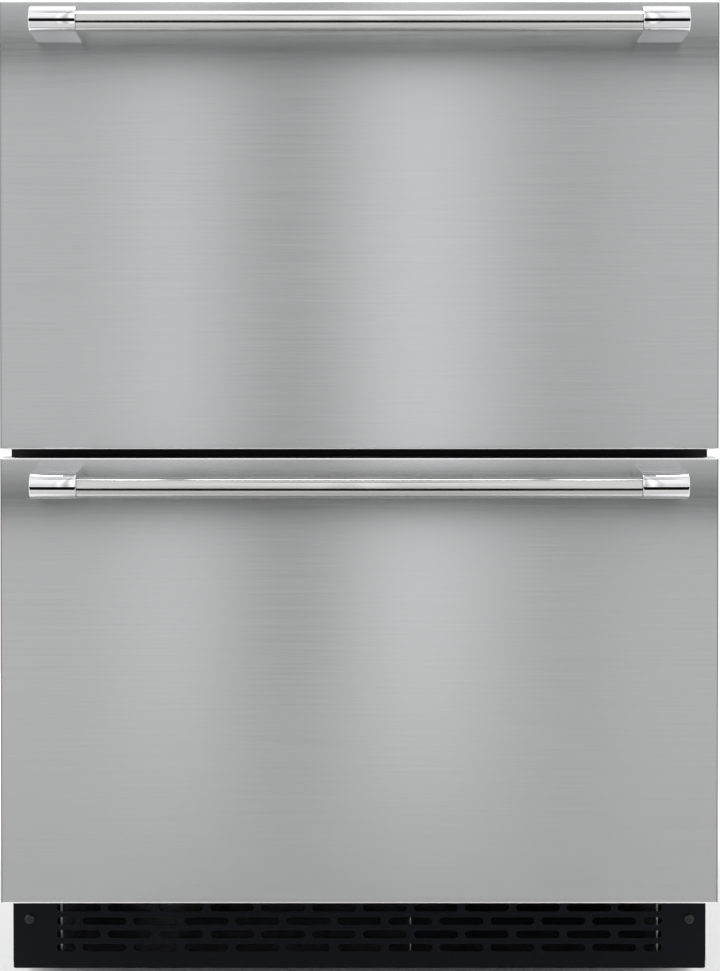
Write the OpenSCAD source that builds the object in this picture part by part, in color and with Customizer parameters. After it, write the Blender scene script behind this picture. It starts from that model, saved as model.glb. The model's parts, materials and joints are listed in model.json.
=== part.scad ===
// Under counter refrigerator with two drawers.
// X runs to the right, Y to the back and Z up. The origin is on the floor, at the middle of the
// whole object, so the drawer fronts face -Y. All sizes are in millimetres.

/* [Cabinet] */
// Width of the cabinet
cabinet_w = 600; // [540:1:760]
// Height from the floor to the top of the cabinet
overall_h = 857; // [780:1:1050]
// Depth from the face of the drawer fronts to the rear of the cabinet
body_depth = 600; // [540:1:760]
// Thickness of the cabinet's sheet metal
sheet_t = 1; // [0.6:0.1:2]
// Thickness of the inner liner
liner_t = 1.5; // [1:0.1:3]
// Thickness of each side wall with its insulation
side_wall = 40; // [30:1:60]
// Thickness of the top wall with its insulation
top_wall = 44; // [30:1:60]
// Thickness of the rear wall with its insulation
rear_wall = 46; // [30:1:60]
// Thickness of the cabinet floor with its insulation
floor_wall = 40; // [30:1:60]
// Depth of the frame around the openings
frame_t = 8; // [5:1:12]
// Height of the bar between the two openings
mullion_h = 52; // [48:1:70]
// Depth of the insulated beam behind that bar
mullion_depth = 56; // [30:1:80]

/* [Machine bay] */
// Height of the cabinet's underside above the floor
underside_z = 100; // [90:1:130]
// Height of the toe grille's lower edge above the floor
plinth_z = 23.3; // [20:0.1:30]
// Depth of the machine bay at the rear
bay_depth = 190; // [180:1:230]
// Rise of the machine bay above the cabinet's underside
bay_rise = 145; // [130:1:200]
// Thickness of the galvanised base sheets
base_t = 1.6; // [1:0.1:3]

/* [Drawer fronts] */
// How far the drawer fronts stand out past each side of the cabinet
front_overhang = 1.5; // [0:0.5:4]
// Height of the lower front's bottom edge above the floor
front_bottom_z = 95.4; // [85:0.1:125]
// Drop from the cabinet's top to the upper front's top edge
front_drop = 4; // [2:0.5:12]
// Gap between the two fronts
front_gap = 7.2; // [4:0.1:12]
// Depth of the stainless wrap
skin_depth = 18; // [12:1:24]
// Thickness of the stainless sheet
skin_t = 1; // [0.6:0.1:1.5]
// Bevel along the front edges of the wrap
skin_bevel = 1.2; // [0.5:0.1:2]
// Depth from the front face to the back of the inner panel
front_t = 48; // [36:1:60]
// Inset of the inner panel from the edges of the wrap
panel_inset = 4; // [3:0.5:8]
// Wall of the inner panel
panel_t = 2; // [1.5:0.1:3]
// Gap between the inner panel and the cabinet's frame, which the gasket fills
gasket_gap = 8; // [6:0.5:12]
// Width of the gasket
gasket_w = 12; // [10:1:16]

/* [Handles] */
// Diameter of the handle tube
tube_d = 18; // [14:1:26]
// Wall of the handle tube
tube_wall = 1.5; // [1:0.1:3]
// Distance of the tube's axis in front of the drawer front
tube_out = 40; // [34:1:55]
// Drop from the front's top edge to the tube's axis
tube_drop = 21.2; // [20:0.1:60]
// Width of an end post
post_w = 38.4; // [25:0.1:60]
// Distance of an end post from the side edge of the front
post_edge = 31; // [20:1:80]
// Diameter of the rounded nose of a post
nose_d = 22; // [18:1:30]
// Rise of the nose's axis above the tube's axis
nose_rise = 1.6; // [0:0.1:2]
// Height of a post where it meets the drawer front
post_foot_h = 27.3; // [22:0.1:36]

/* [Drawers] */
// Thickness of the drawer box sheet
box_t = 1.5; // [1:0.1:3]
// Height of the drawer boxes
box_h = 180; // [100:1:220]
// Gap under a drawer box
box_lift = 12; // [8:1:30]
// Gap between a drawer box and what is behind it
box_rear_gap = 22; // [15:1:60]
// Width of the rim around a drawer box
box_rim = 6; // [4:1:10]
// Width that one slide takes up between the wall and the box
slide_w = 13; // [12:0.5:18]
// Height of the cabinet slide members
slide_h = 45; // [40:1:60]
// Height of the slide's axis above the box's bottom
slide_up = 45; // [30:1:90]
// Thickness of the slide members
slide_t = 1.2; // [1:0.1:1.5]

/* [Toe grille] */
// Depth of the grille behind the drawer fronts
toe_set_back = 61; // [57:0.5:90]
// Thickness of the grille sheet
toe_t = 1.2; // [0.8:0.1:2]
// Length of a slot
slot_len = 38; // [20:1:60]
// Height of a slot
slot_h = 6.5; // [4:0.1:8]
// Metal left between two slots of a row
slot_web = 6.2; // [4:0.1:12]
// Spacing of the rows
row_pitch = 11.6; // [10:0.1:14]
// Height of the lowest row above the grille's lower edge
first_row = 17.7; // [12:0.1:20]
// Number of rows
slot_rows = 4; // [2:1:5]
// Plain metal kept at each end of the rows
slot_margin = 37; // [30:1:60]
// Distance of the screws from the grille's side edges
toe_screw_in = 14.4; // [10:0.1:25]
// Height of the screws above the grille's lower edge
toe_screw_up = 43; // [15:0.5:50]

/* [Feet] */
// Diameter of a levelling foot's pad
foot_d = 38; // [30:1:50]
// Diameter of a levelling foot's stem
stem_d = 10; // [8:1:12]
// How far a foot screws down
foot_travel = 25; // [10:1:30]
// Distance of the front feet behind the drawer fronts
front_foot_y = 165; // [150:1:220]
// Distance of the rear feet in front of the cabinet's rear
rear_foot_y = 42; // [30:1:80]

/* [Cooling] */
// Height of the compressor shell
compressor_h = 150; // [110:1:165]
// Diameter of the compressor shell
compressor_d = 124; // [100:1:140]
// Side of the evaporator fan's frame
evap_fan = 100; // [80:1:120]
// Side of the condenser fan's frame
cond_fan = 140; // [110:1:150]
// Depth of the space behind the evaporator cover
evap_depth = 62; // [56:1:80]

/* [Controls] */
// Width of the control housing
control_w = 200; // [170:1:260]
// Height of the control housing
control_h = 26; // [22:1:34]
// Diameter of a push button
button_d = 10; // [8:0.5:12]
// Spacing of the push buttons
button_pitch = 20; // [16:1:24]
// Travel of a push button
button_travel = 1; // [0.5:0.1:1.5]

/* [Hidden] */
$fn = 48;

// Small overshoot that lets a cut pass cleanly through a face
cut = 1;
// Gap left between two fixed sheets
fit = 0.2;
// Running clearance between a turning or sliding shaft and its hole, on the radius
running = 0.05;
// Clearance around a fixed screw, on the radius
screw_play = 0.1;

// Depths, from front to back
handle_out = tube_out + nose_d / 2;
face_y = -(body_depth + handle_out) / 2 + handle_out;
back_y = face_y + body_depth;
panel_back_y = face_y + front_t;
frame_y = panel_back_y + gasket_gap;
shell_y = frame_y + frame_t;
toe_y = face_y + toe_set_back;
bay_y = back_y - bay_depth;
step_y = bay_y - floor_wall;
liner_back_y = back_y - rear_wall;
evap_y = liner_back_y - evap_depth;

// Heights, from the floor up
base_z = plinth_z;
deck_z = base_z + base_t;
toe_top_z = underside_z - 1.2;
cavity_z = underside_z + floor_wall;
bay_top_z = underside_z + bay_rise;
step_z = bay_top_z + floor_wall;
ceiling_z = overall_h - top_wall;
front_h = (overall_h - front_drop - front_bottom_z - front_gap) / 2;
lower_z = front_bottom_z;
upper_z = front_bottom_z + front_h + front_gap;
mullion_z = upper_z - front_gap / 2;
mullion_top = mullion_z + mullion_h / 2;
mullion_low = mullion_z - mullion_h / 2;
lower_box_z = cavity_z + box_lift;
upper_box_z = mullion_top + box_lift;

// Widths
half_w = cabinet_w / 2;
front_w = cabinet_w + 2 * front_overhang;
cavity_half = half_w - side_wall;
box_half = cavity_half - slide_w;
rail_x = cavity_half - 1.5;
flange_w = 18;

// Drawer boxes and their slides
upper_box_depth = evap_y - box_rear_gap - panel_back_y;
lower_box_depth = step_y - box_rear_gap - panel_back_y;
slide_y = shell_y + 2;
upper_slide_len = upper_box_depth - 20;
lower_slide_len = lower_box_depth - 20;

// Holes through the step of the cabinet floor: [x, radius] of the drain and of the pipes
service_y = liner_back_y - 26;
drain_x = 0;
drain_r = 8;
pipe_x = 205;
pipe_hole_r = 7;

// Centres of the fans and of the compressor
evap_fan_z = ceiling_z - 132;
bay_mid_y = back_y - bay_depth / 2;
cover_y = back_y - 4;
tray_end_y = cover_y - 4;
cond_fan_x = -152;
// Coils: height, depth, rows of tubes, gap before a return bend and width of the bend
coil_h = 150;
coil_d = 44;
coil_rows = 5;
end_gap = 12;
bend_w = 8;
cond_coil_w = 130;
cond_coil_x = cond_fan_x - 50;
cond_coil_z = deck_z + 6;
evap_coil_w = 360;
evap_coil_z = step_z + 34;
drier_x = -104;
drier_z = deck_z + 72;
drier_len = 86;
cond_fan_z = deck_z + cond_fan / 2 + 8;
// Relay box beside the compressor: gap to the shell, width of its body and of its lid
relay_gap = 3.5;
relay_w = 34;
relay_lid = 4;
compressor_x = rail_x - 5 - relay_lid - relay_w - relay_gap - compressor_d / 2;
grommet_h = 12;
nut_h = 9;
// Tubes of the coils, and how far in front of or behind a coil its pipes run
coil_tube_r = 4.5;
pipe_lead = cond_coil_w / 2 + end_gap + bend_w / 2;
// Fan frames: depth, and length of the motor's body
fan_depth = 25;
motor_h = 11.5;

// Control housing at the front of the ceiling
control_y = shell_y + 4;
control_z = ceiling_z - control_h;
control_depth = 60;
control_t = 2.5;
display_w = 44;
display_h = 16;
display_z = control_z + (control_h - display_h) / 2;
// Two push buttons on each side of the display
button_start = display_w / 2 + 16;
button_x = [-button_start - button_pitch, -button_start, button_start, button_start + button_pitch];

// Power inlet: place and size of its opening in the machine cover
inlet_x = half_w - 74;
inlet_z = base_z + 40;
inlet_w = 28;
inlet_h = 20.4;

// Slides: gap that holds the balls, and half heights of the three nested members
ball_gap = 4;
outer_half = slide_h / 2;
middle_half = outer_half - slide_t - ball_gap;
inner_half = middle_half - slide_t - ball_gap;

// Handle posts: how far the foot's middle lies under the nose's axis
post_foot_drop = 1.1;
// Rear panel: width of a stiffening bead and its distance from the panel's ends
bead_w = 30;
bead_end = 60;
bead_pitch = cabinet_w * 0.28;

// ---------------------------------------------------------------- shared shapes

// A box given by its lowest and highest corner
module slab(low, high) {
    translate(low) cube(high - low);
}

// A shape and its mirror image across the middle of the fridge
module both_sides() {
    children();
    mirror([1, 0, 0]) children();
}

// A flat outline in Y and Z, carried along X and centred
module along_x(w) {
    translate([-w / 2, 0, 0]) rotate([90, 0, 90]) linear_extrude(w) children();
}

// A flat outline in X and Z, carried along Y from y0 to y1
module along_y(y0, y1) {
    translate([0, y1, 0]) rotate([90, 0, 0]) linear_extrude(y1 - y0) children();
}

// Points of an arc
function arc(centre, r, from, to, steps) = [
    for (i = [0 : steps])
        let (a = from + (to - from) * i / steps)
            [centre[0] + r * cos(a), centre[1] + r * sin(a)]
];

// A slot with round ends, standing in X and Z and centred
module slot_shape(length, height) {
    square([length - height, height], center = true);
    for (side = [-1, 1]) translate([side * (length - height) / 2, 0]) circle(d = height);
}

// A pan-head screw along -Y, its head's seat at the origin
module pan_screw(length) {
    head_r = 4.2;
    head_h = 2.4;
    crown = 0.8;
    recess_w = 4.6;
    recess_t = 1;
    difference() {
        rotate([90, 0, 0]) {
            cylinder(r = head_r, h = head_h - crown);
            translate([0, 0, head_h - crown]) cylinder(r1 = head_r, r2 = head_r - 1.4, h = crown);
        }
        for (turn = [0, 90])
            rotate([0, turn, 0])
                slab([-recess_w / 2, -head_h - cut, -recess_t / 2],
                     [recess_w / 2, -head_h + 1.2, recess_t / 2]);
    }
    rotate([-90, 0, 0]) cylinder(d = 4, h = length);
}

// Outline of the storage space in Y and Z, grown outwards by `grow`
module cavity_outline(grow) {
    polygon([
        [shell_y - (grow > 0 ? cut : 0), cavity_z - grow], [step_y + grow, cavity_z - grow],
        [step_y + grow, step_z - grow], [liner_back_y + grow, step_z - grow],
        [liner_back_y + grow, ceiling_z + grow], [shell_y - (grow > 0 ? cut : 0), ceiling_z + grow]
    ]);
}

// The drain and pipe passages through the step
module service_holes() {
    for (hole = [[drain_x, drain_r], [pipe_x, pipe_hole_r]])
        translate([hole[0], service_y, bay_top_z - cut])
            cylinder(r = hole[1], h = floor_wall + 2 * cut);
}

// ---------------------------------------------------------------- cabinet

// Folded sheet that forms both sides and the top, with flanges for the machine cover
module outer_wrapper() {
    inner_x = half_w - sheet_t;
    color([0.10, 0.10, 0.11]) difference() {
        union() {
            difference() {
                slab([-half_w, toe_y + toe_t + fit, base_z], [half_w, back_y, overall_h]);
                slab([-inner_x, toe_y, base_z - cut], [inner_x, back_y + cut, overall_h - sheet_t]);
                slab([-half_w - cut, toe_y, toe_top_z + fit], [half_w + cut, shell_y, overall_h + cut]);
            }
            both_sides()
                slab([inner_x - flange_w, cover_y - 2 * sheet_t, base_z],
                     [half_w, cover_y - sheet_t, bay_top_z]);
        }
        cover_screw_holes();
    }
}

// Sheet under the insulation, with the step over the machine bay
module underside_panel() {
    color([0.70, 0.72, 0.73]) difference() {
        along_x(cabinet_w - 2 * sheet_t) polygon([
            [shell_y, underside_z], [bay_y, underside_z], [bay_y, bay_top_z],
            [back_y - sheet_t, bay_top_z], [back_y - sheet_t, bay_top_z + sheet_t],
            [bay_y - sheet_t, bay_top_z + sheet_t], [bay_y - sheet_t, underside_z + sheet_t],
            [shell_y, underside_z + sheet_t]
        ]);
        service_holes();
    }
}

// Sheet behind the insulation
module rear_panel() {
    color([0.70, 0.72, 0.73]) difference() {
        slab([-half_w + sheet_t, back_y - sheet_t, bay_top_z],
             [half_w - sheet_t, back_y, overall_h - sheet_t]);
        for (i = [-1 : 1])
            translate([i * bead_pitch, 0, 0])
                slab([-bead_w / 2, back_y - sheet_t / 2, bay_top_z + bead_end],
                     [bead_w / 2, back_y + cut, overall_h - bead_end]);
    }
}

// Foamed-in insulation between the sheets and the liner
module insulation_foam() {
    color([0.93, 0.86, 0.62]) difference() {
        along_x(cabinet_w - 2 * sheet_t) polygon([
            [shell_y, underside_z + sheet_t], [bay_y - sheet_t, underside_z + sheet_t],
            [bay_y - sheet_t, bay_top_z + sheet_t], [back_y - sheet_t, bay_top_z + sheet_t],
            [back_y - sheet_t, overall_h - sheet_t], [shell_y, overall_h - sheet_t]
        ]);
        along_x(2 * (cavity_half + liner_t)) cavity_outline(liner_t);
        service_holes();
    }
}

// Moulded lining of the storage space
module inner_liner() {
    color([0.90, 0.91, 0.92]) difference() {
        intersection() {
            along_x(2 * (cavity_half + liner_t)) cavity_outline(liner_t);
            slab([-half_w, shell_y, 0], [half_w, back_y, overall_h]);
        }
        along_x(2 * cavity_half) translate([-cut, 0]) cavity_outline(0);
        along_x(2 * cavity_half) cavity_outline(0);
        service_holes();
    }
}

// Face frame that the gaskets close against
module front_frame() {
    color([0.07, 0.07, 0.08]) difference() {
        slab([-half_w, frame_y, toe_top_z + fit], [half_w, shell_y, overall_h]);
        for (band = [[cavity_z, mullion_low], [mullion_top, ceiling_z]])
            slab([-cavity_half, frame_y - cut, band[0]], [cavity_half, shell_y + cut, band[1]]);
    }
}

// Insulated beam between the two openings
module mullion() {
    color([0.09, 0.09, 0.10])
        slab([-cavity_half, shell_y, mullion_low], [cavity_half, shell_y + mullion_depth, mullion_top]);
}

// ---------------------------------------------------------------- base

// Places the four levelling feet, or one of them
module foot_place(side, front) {
    foot_x = (rail_x + base_t + half_w - sheet_t) / 2;
    foot_y = front ? face_y + front_foot_y : back_y - rear_foot_y;
    translate([side * foot_x, foot_y, 0]) children();
}

module foot_holes() {
    for (side = [-1, 1], front = [true, false])
        foot_place(side, front)
            translate([0, 0, base_z - cut]) cylinder(d = stem_d + 2 * running, h = 40);
}

// Galvanised tray that carries the machinery
module base_tray() {
    color([0.72, 0.74, 0.75])
        slab([-rail_x, toe_y + 20, base_z], [rail_x, tray_end_y, deck_z]);
}

// Galvanised rails with weld nuts for the feet and tabs for the grille's screws
module base_side_rails() {
    outer_x = half_w - sheet_t;
    tab_y = toe_y + toe_t + fit;
    color([0.76, 0.78, 0.79]) difference() {
        union() {
            both_sides() {
                slab([rail_x, toe_y + 9, base_z], [rail_x + base_t, tray_end_y, underside_z]);
                slab([rail_x + base_t, tab_y, base_z], [outer_x, tray_end_y, deck_z]);
                slab([half_w - toe_screw_in - 11, tab_y, deck_z],
                     [outer_x, tab_y + base_t, base_z + toe_screw_up + 9]);
            }
            for (side = [-1, 1], front = [true, false])
                foot_place(side, front)
                    translate([0, 0, deck_z]) rotate([0, 0, 30]) cylinder(d = 20, h = nut_h, $fn = 6);
        }
        foot_holes();
        toe_screw_holes();
    }
}

module toe_screw_holes() {
    both_sides()
        translate([half_w - toe_screw_in, toe_y - cut, base_z + toe_screw_up])
            rotate([-90, 0, 0]) cylinder(d = 4 + 2 * screw_play, h = 12);
}

// Slotted grille between the floor and the lower drawer
module toe_grille() {
    pitch = slot_len + slot_web;
    full = floor((cabinet_w - 2 * slot_margin + slot_web) / pitch);
    field = full * pitch - slot_web;
    short_len = (pitch - slot_web) / 2 - slot_web / 2;
    corner_w = 1.4;
    corner_h = 7;
    return_depth = 10;
    color([0.06, 0.065, 0.075]) difference() {
        union() {
            along_y(toe_y, toe_y + toe_t) polygon([
                [-half_w + corner_w, base_z], [half_w - corner_w, base_z], [half_w, base_z + corner_h],
                [half_w, toe_top_z], [-half_w, toe_top_z], [-half_w, base_z + corner_h]
            ]);
            slab([-rail_x, toe_y + toe_t, toe_top_z - toe_t], [rail_x, toe_y + return_depth, toe_top_z]);
        }
        for (row = [0 : slot_rows - 1])
            translate([0, 0, base_z + first_row + row * row_pitch])
                if (row % 2 == 1) {
                    for (i = [0 : full - 1])
                        along_y(toe_y - cut, toe_y + toe_t + cut)
                            translate([(i - (full - 1) / 2) * pitch, 0]) slot_shape(slot_len, slot_h);
                } else {
                    for (i = [0 : full - 2])
                        along_y(toe_y - cut, toe_y + toe_t + cut)
                            translate([(i - (full - 2) / 2) * pitch, 0]) slot_shape(slot_len, slot_h);
                    both_sides() along_y(toe_y - cut, toe_y + toe_t + cut)
                        translate([field / 2 - short_len / 2, 0]) slot_shape(short_len, slot_h);
                }
        toe_screw_holes();
    }
}

// Screws of the toe grille and of the machine cover
module panel_screws() {
    color([0.15, 0.15, 0.16]) {
        both_sides()
            translate([half_w - toe_screw_in, toe_y, base_z + toe_screw_up]) pan_screw(7);
        cover_screw_places() mirror([0, 1, 0]) pan_screw(9);
    }
}

// Upright sheet that parts the incoming air from the outgoing air
module air_baffle() {
    baffle_x = 44;
    color([0.66, 0.68, 0.69])
        slab([baffle_x, toe_y + 11, deck_z], [baffle_x + 1, bay_y + 8, underside_z]);
}

// Levelling foot: a pad, a hexagon and a threaded stem
module foot(side, front) {
    pad_h = 7;
    hex_top = base_z - 1;
    stem_top = deck_z + nut_h + foot_travel + 3;
    color([0.12, 0.12, 0.13]) foot_place(side, front) {
        cylinder(d = foot_d, h = pad_h - 2);
        translate([0, 0, pad_h - 2]) cylinder(d1 = foot_d, d2 = foot_d - 8, h = 2);
        translate([0, 0, pad_h]) cylinder(d = 20, h = hex_top - pad_h, $fn = 6);
        translate([0, 0, hex_top]) cylinder(d = stem_d, h = stem_top - hex_top);
    }
}

// ---------------------------------------------------------------- machine bay

// Hermetic compressor with its mounting plate and stubs
module compressor() {
    r = compressor_d / 2;
    foot_z = deck_z + grommet_h;
    plate_t = 3;
    shell_z = foot_z + plate_t;
    dome = 22;
    flange = 3;
    color([0.08, 0.08, 0.09]) translate([compressor_x, bay_mid_y, 0]) {
        difference() {
            slab([-76, -56, foot_z], [76, 56, shell_z]);
            grommet_places() cylinder(d = 14, h = 60);
        }
        translate([0, 0, shell_z]) rotate_extrude() polygon(concat(
            [[0, 0], [r - 8, 0], [r, 8], [r, compressor_h * 0.5], [r + flange, compressor_h * 0.5],
             [r + flange, compressor_h * 0.5 + flange], [r - 2, compressor_h * 0.5 + flange],
             [r - 2, compressor_h - dome]],
            arc([r - 2 - dome, compressor_h - dome], dome, 10, 80, 7),
            [[0, compressor_h + 3]]
        ));
        for (stub = [[-0.55, 0.62], [-0.55, 0.4]])
            translate([stub[0] * r, 0, shell_z + stub[1] * compressor_h])
                rotate([0, -90, 0]) cylinder(d = 9, h = r * 0.55);
    }
}

// Corners of the compressor's mounting plate
module grommet_places() {
    for (x = [-64, 64], y = [-44, 44]) translate([x, y, 0]) children();
}

// Rubber grommets under the compressor
module compressor_grommets() {
    color([0.05, 0.05, 0.05]) translate([compressor_x, bay_mid_y, deck_z]) grommet_places() {
        cylinder(d = 22, h = grommet_h);
        translate([0, 0, grommet_h]) cylinder(d = 13.8, h = 3);
        translate([0, 0, grommet_h + 3]) cylinder(d = 20, h = 4);
    }
}

// Starting relay on the compressor's side
module compressor_relay_box() {
    relay_x = compressor_x + compressor_d / 2 + relay_gap;
    color([0.13, 0.13, 0.14]) translate([relay_x, bay_mid_y, deck_z + 40]) {
        slab([0, -27, 0], [relay_w, 27, 62]);
        slab([relay_w, -20, 8], [relay_w + relay_lid, 20, 54]);
    }
}

// Finned coil standing in X and Z: tubes along X with a return bend block at each end
module finned_coil(w, h, d, fins, rows) {
    fin_t = 0.8;
    step = h / rows;
    color([0.78, 0.79, 0.80]) for (i = [0 : fins - 1])
        difference() {
            translate([-w / 2 + i * w / (fins - 1) - fin_t / 2, -d / 2, 0]) cube([fin_t, d, h]);
            coil_tubes(w + 4, step, rows, d);
        }
    color([0.72, 0.45, 0.30]) coil_tubes(w + 2 * end_gap, step, rows, d);
    color([0.72, 0.45, 0.30]) for (side = [-1, 1])
        translate([side * (w / 2 + end_gap), 0, 0])
            for (row = [0 : rows - 1])
                translate([side > 0 ? 0 : -bend_w, -d / 4 - coil_tube_r, step * (row + 0.5) - coil_tube_r])
                    cube([bend_w, d / 2 + 2 * coil_tube_r, 2 * coil_tube_r]);
}

module coil_tubes(w, step, rows, d) {
    for (row = [0 : rows - 1], line = [-1, 1])
        translate([-w / 2, line * d / 4, step * (row + 0.5)])
            rotate([0, 90, 0]) cylinder(r = coil_tube_r, h = w, $fn = 24);
}

module condenser_coil() {
    translate([cond_coil_x, bay_mid_y, cond_coil_z]) rotate([0, 0, 90])
        finned_coil(cond_coil_w, coil_h, coil_d, 18, coil_rows);
}

module evaporator_coil() {
    translate([0, evap_y + evap_depth / 2 + 2, evap_coil_z])
        finned_coil(evap_coil_w, coil_h, coil_d, 28, coil_rows);
}

// Fan frame standing square to its axis, with a motor on struts and a shaft
module fan_frame(size) {
    depth = fan_depth;
    open_r = size / 2 - 4;
    motor_r = 18;
    strut = 5;
    color([0.10, 0.10, 0.11]) {
        difference() {
            translate([-size / 2, -size / 2, -depth / 2]) cube([size, size, depth]);
            translate([0, 0, -depth / 2 - cut]) cylinder(r = open_r, h = depth + 2 * cut);
            for (x = [-1, 1], y = [-1, 1])
                translate([x * (size / 2 - 6), y * (size / 2 - 6), -depth / 2 - cut])
                    cylinder(d = 4.4, h = depth + 2 * cut);
        }
        for (turn = [0, 90])
            rotate([0, 0, turn + 45])
                translate([-open_r - 0.5, -strut / 2, -depth / 2]) cube([2 * open_r + 1, strut, 3]);
        translate([0, 0, -depth / 2]) cylinder(r = motor_r, h = motor_h);
        translate([0, 0, -depth / 2 + motor_h]) cylinder(d = 4, h = 11);
    }
}

// Fan wheel with its hub, running on the motor's shaft
module fan_blade(size) {
    hub_r = 17;
    hub_h = 10;
    tip_r = size / 2 - 8;
    chord = size * 0.24;
    blades = 5;
    color([0.16, 0.16, 0.17]) translate([0, 0, -fan_depth / 2 + motor_h + 1]) difference() {
        union() {
            cylinder(r = hub_r, h = hub_h);
            for (i = [0 : blades - 1])
                rotate([0, 0, i * 360 / blades])
                    translate([hub_r - 2, 0, hub_h / 2])
                        rotate([24, 0, 0])
                            translate([0, -chord / 2, -0.9]) cube([tip_r - hub_r - 1, chord, 1.8]);
        }
        translate([0, 0, -cut]) cylinder(d = 4 + 2 * running, h = hub_h + 2 * cut);
    }
}

module at_condenser_fan() {
    translate([cond_fan_x, bay_mid_y, cond_fan_z]) rotate([0, 90, 0]) children();
}

module at_evaporator_fan() {
    translate([0, evap_y + 17, evap_fan_z]) rotate([90, 0, 0]) children();
}

// Shallow pan that the drain tube empties into
module drip_pan() {
    pan_h = 26;
    wall = 2;
    low = [-92, bay_y + 34, deck_z];
    high = [58, back_y - 24, deck_z + pan_h];
    color([0.14, 0.14, 0.15]) difference() {
        slab(low, high);
        slab(low + [wall, wall, wall], high + [-wall, -wall, cut]);
    }
}

// Drain from the evaporator space down to the drip pan
module drain_tube() {
    top = step_z;
    low = deck_z + 40;
    color([0.85, 0.86, 0.87]) translate([drain_x, service_y, 0]) difference() {
        translate([0, 0, low]) cylinder(r = drain_r - 0.2, h = top - low);
        translate([0, 0, low - cut]) cylinder(r = drain_r - 2, h = top - low + 2 * cut);
    }
}

// A run of pipe through points whose legs are parallel to the axes, with a ball at each bend
module pipe_run(points, r) {
    for (i = [0 : len(points) - 2]) {
        a = points[i];
        v = points[i + 1] - a;
        turn = v[0] != 0 ? [0, v[0] > 0 ? 90 : -90, 0] : v[1] != 0 ? [v[1] > 0 ? -90 : 90, 0, 0]
             : [v[2] > 0 ? 0 : 180, 0, 0];
        translate(a) rotate(turn) cylinder(r = r, h = norm(v), $fn = 24);
        if (i > 0) translate(a) sphere(r = r + 0.4, $fn = 24);
    }
}

// Copper lines between the compressor, the condenser and the evaporator
module refrigerant_pipes() {
    shell_z = deck_z + grommet_h + 3;
    high_z = shell_z + compressor_h * 0.62;
    low_z = shell_z + compressor_h * 0.4;
    stub_x = compressor_x - compressor_d / 2 * 1.1;
    over_z = bay_top_z - 32;
    coil_x = cond_coil_x + coil_d / 4 + coil_tube_r;
    row_rise = coil_h / coil_rows / 2;
    evap_x = evap_coil_w / 2 + end_gap + bend_w;
    color([0.75, 0.45, 0.28]) {
        // Hot gas to the condenser
        pipe_run([[stub_x, bay_mid_y, high_z], [stub_x - 30, bay_mid_y, high_z],
                  [stub_x - 30, bay_mid_y, cond_coil_z + coil_h - row_rise],
                  [stub_x - 30, bay_mid_y + pipe_lead, cond_coil_z + coil_h - row_rise],
                  [coil_x, bay_mid_y + pipe_lead, cond_coil_z + coil_h - row_rise]], 3);
        // Condensed liquid to the drier, and on through a capillary to the evaporator
        pipe_run([[coil_x, bay_mid_y - pipe_lead, cond_coil_z + row_rise],
                  [drier_x, bay_mid_y - pipe_lead, cond_coil_z + row_rise],
                  [drier_x, bay_mid_y - pipe_lead, drier_z]], 3);
        pipe_run([[drier_x, bay_mid_y - pipe_lead, drier_z + drier_len],
                  [drier_x, bay_mid_y - pipe_lead, over_z + 12],
                  [pipe_x - 3, bay_mid_y - pipe_lead, over_z + 12], [pipe_x - 3, service_y, over_z + 12],
                  [pipe_x - 3, service_y, evap_coil_z + row_rise],
                  [evap_x, service_y, evap_coil_z + row_rise]], 1.5);
        // Cold gas back to the compressor
        pipe_run([[stub_x, bay_mid_y, low_z], [stub_x - 14, bay_mid_y, low_z],
                  [stub_x - 14, bay_mid_y - 30, low_z], [stub_x - 14, bay_mid_y - 30, over_z],
                  [stub_x - 14, service_y, over_z], [pipe_x + 2.4, service_y, over_z],
                  [pipe_x + 2.4, service_y, evap_coil_z + coil_h - row_rise],
                  [evap_x, service_y, evap_coil_z + coil_h - row_rise]], 3);
    }
}

// Filter drier, upright in the liquid line
module filter_drier() {
    neck_r = 3.4;
    neck_h = 6;
    shell_r = 9.5;
    taper = 8;
    color([0.75, 0.45, 0.28]) translate([drier_x, bay_mid_y - pipe_lead, drier_z]) rotate_extrude()
        polygon([
            [0, 0], [neck_r, 0], [neck_r, neck_h], [shell_r, neck_h + taper],
            [shell_r, drier_len - neck_h - taper], [neck_r, drier_len - neck_h], [neck_r, drier_len],
            [0, drier_len]
        ]);
}

// Where the screws of the machine cover stand, three on each side flange
module cover_screw_places() {
    low = base_z + 12;
    high = bay_top_z - 12;
    for (side = [-1, 1], z = [low, (low + high) / 2, high])
        translate([side * (half_w - sheet_t - flange_w / 2), cover_y, z]) children();
}

module cover_screw_holes() {
    cover_screw_places() rotate([90, 0, 0]) translate([0, 0, -cut])
        cylinder(d = 4 + 2 * screw_play, h = 2 * cut + 2 * sheet_t);
}

// Louvred cover of the machine bay
module machine_cover() {
    rows = 9;
    row_step = 17;
    louvre = [70, 5];
    color([0.68, 0.70, 0.71]) difference() {
        slab([-half_w + sheet_t, cover_y - sheet_t, base_z], [half_w - sheet_t, cover_y, bay_top_z - fit]);
        for (row = [0 : rows - 1], x = [-196, -100, 0, 100])
            translate([x, 0, base_z + 44 + row * row_step])
                along_y(cover_y - sheet_t - cut, cover_y + cut) slot_shape(louvre[0], louvre[1]);
        slab([inlet_x - inlet_w / 2, cover_y - 2 * cut, inlet_z - inlet_h / 2],
             [inlet_x + inlet_w / 2, cover_y + cut, inlet_z + inlet_h / 2]);
        cover_screw_holes();
    }
}

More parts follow.
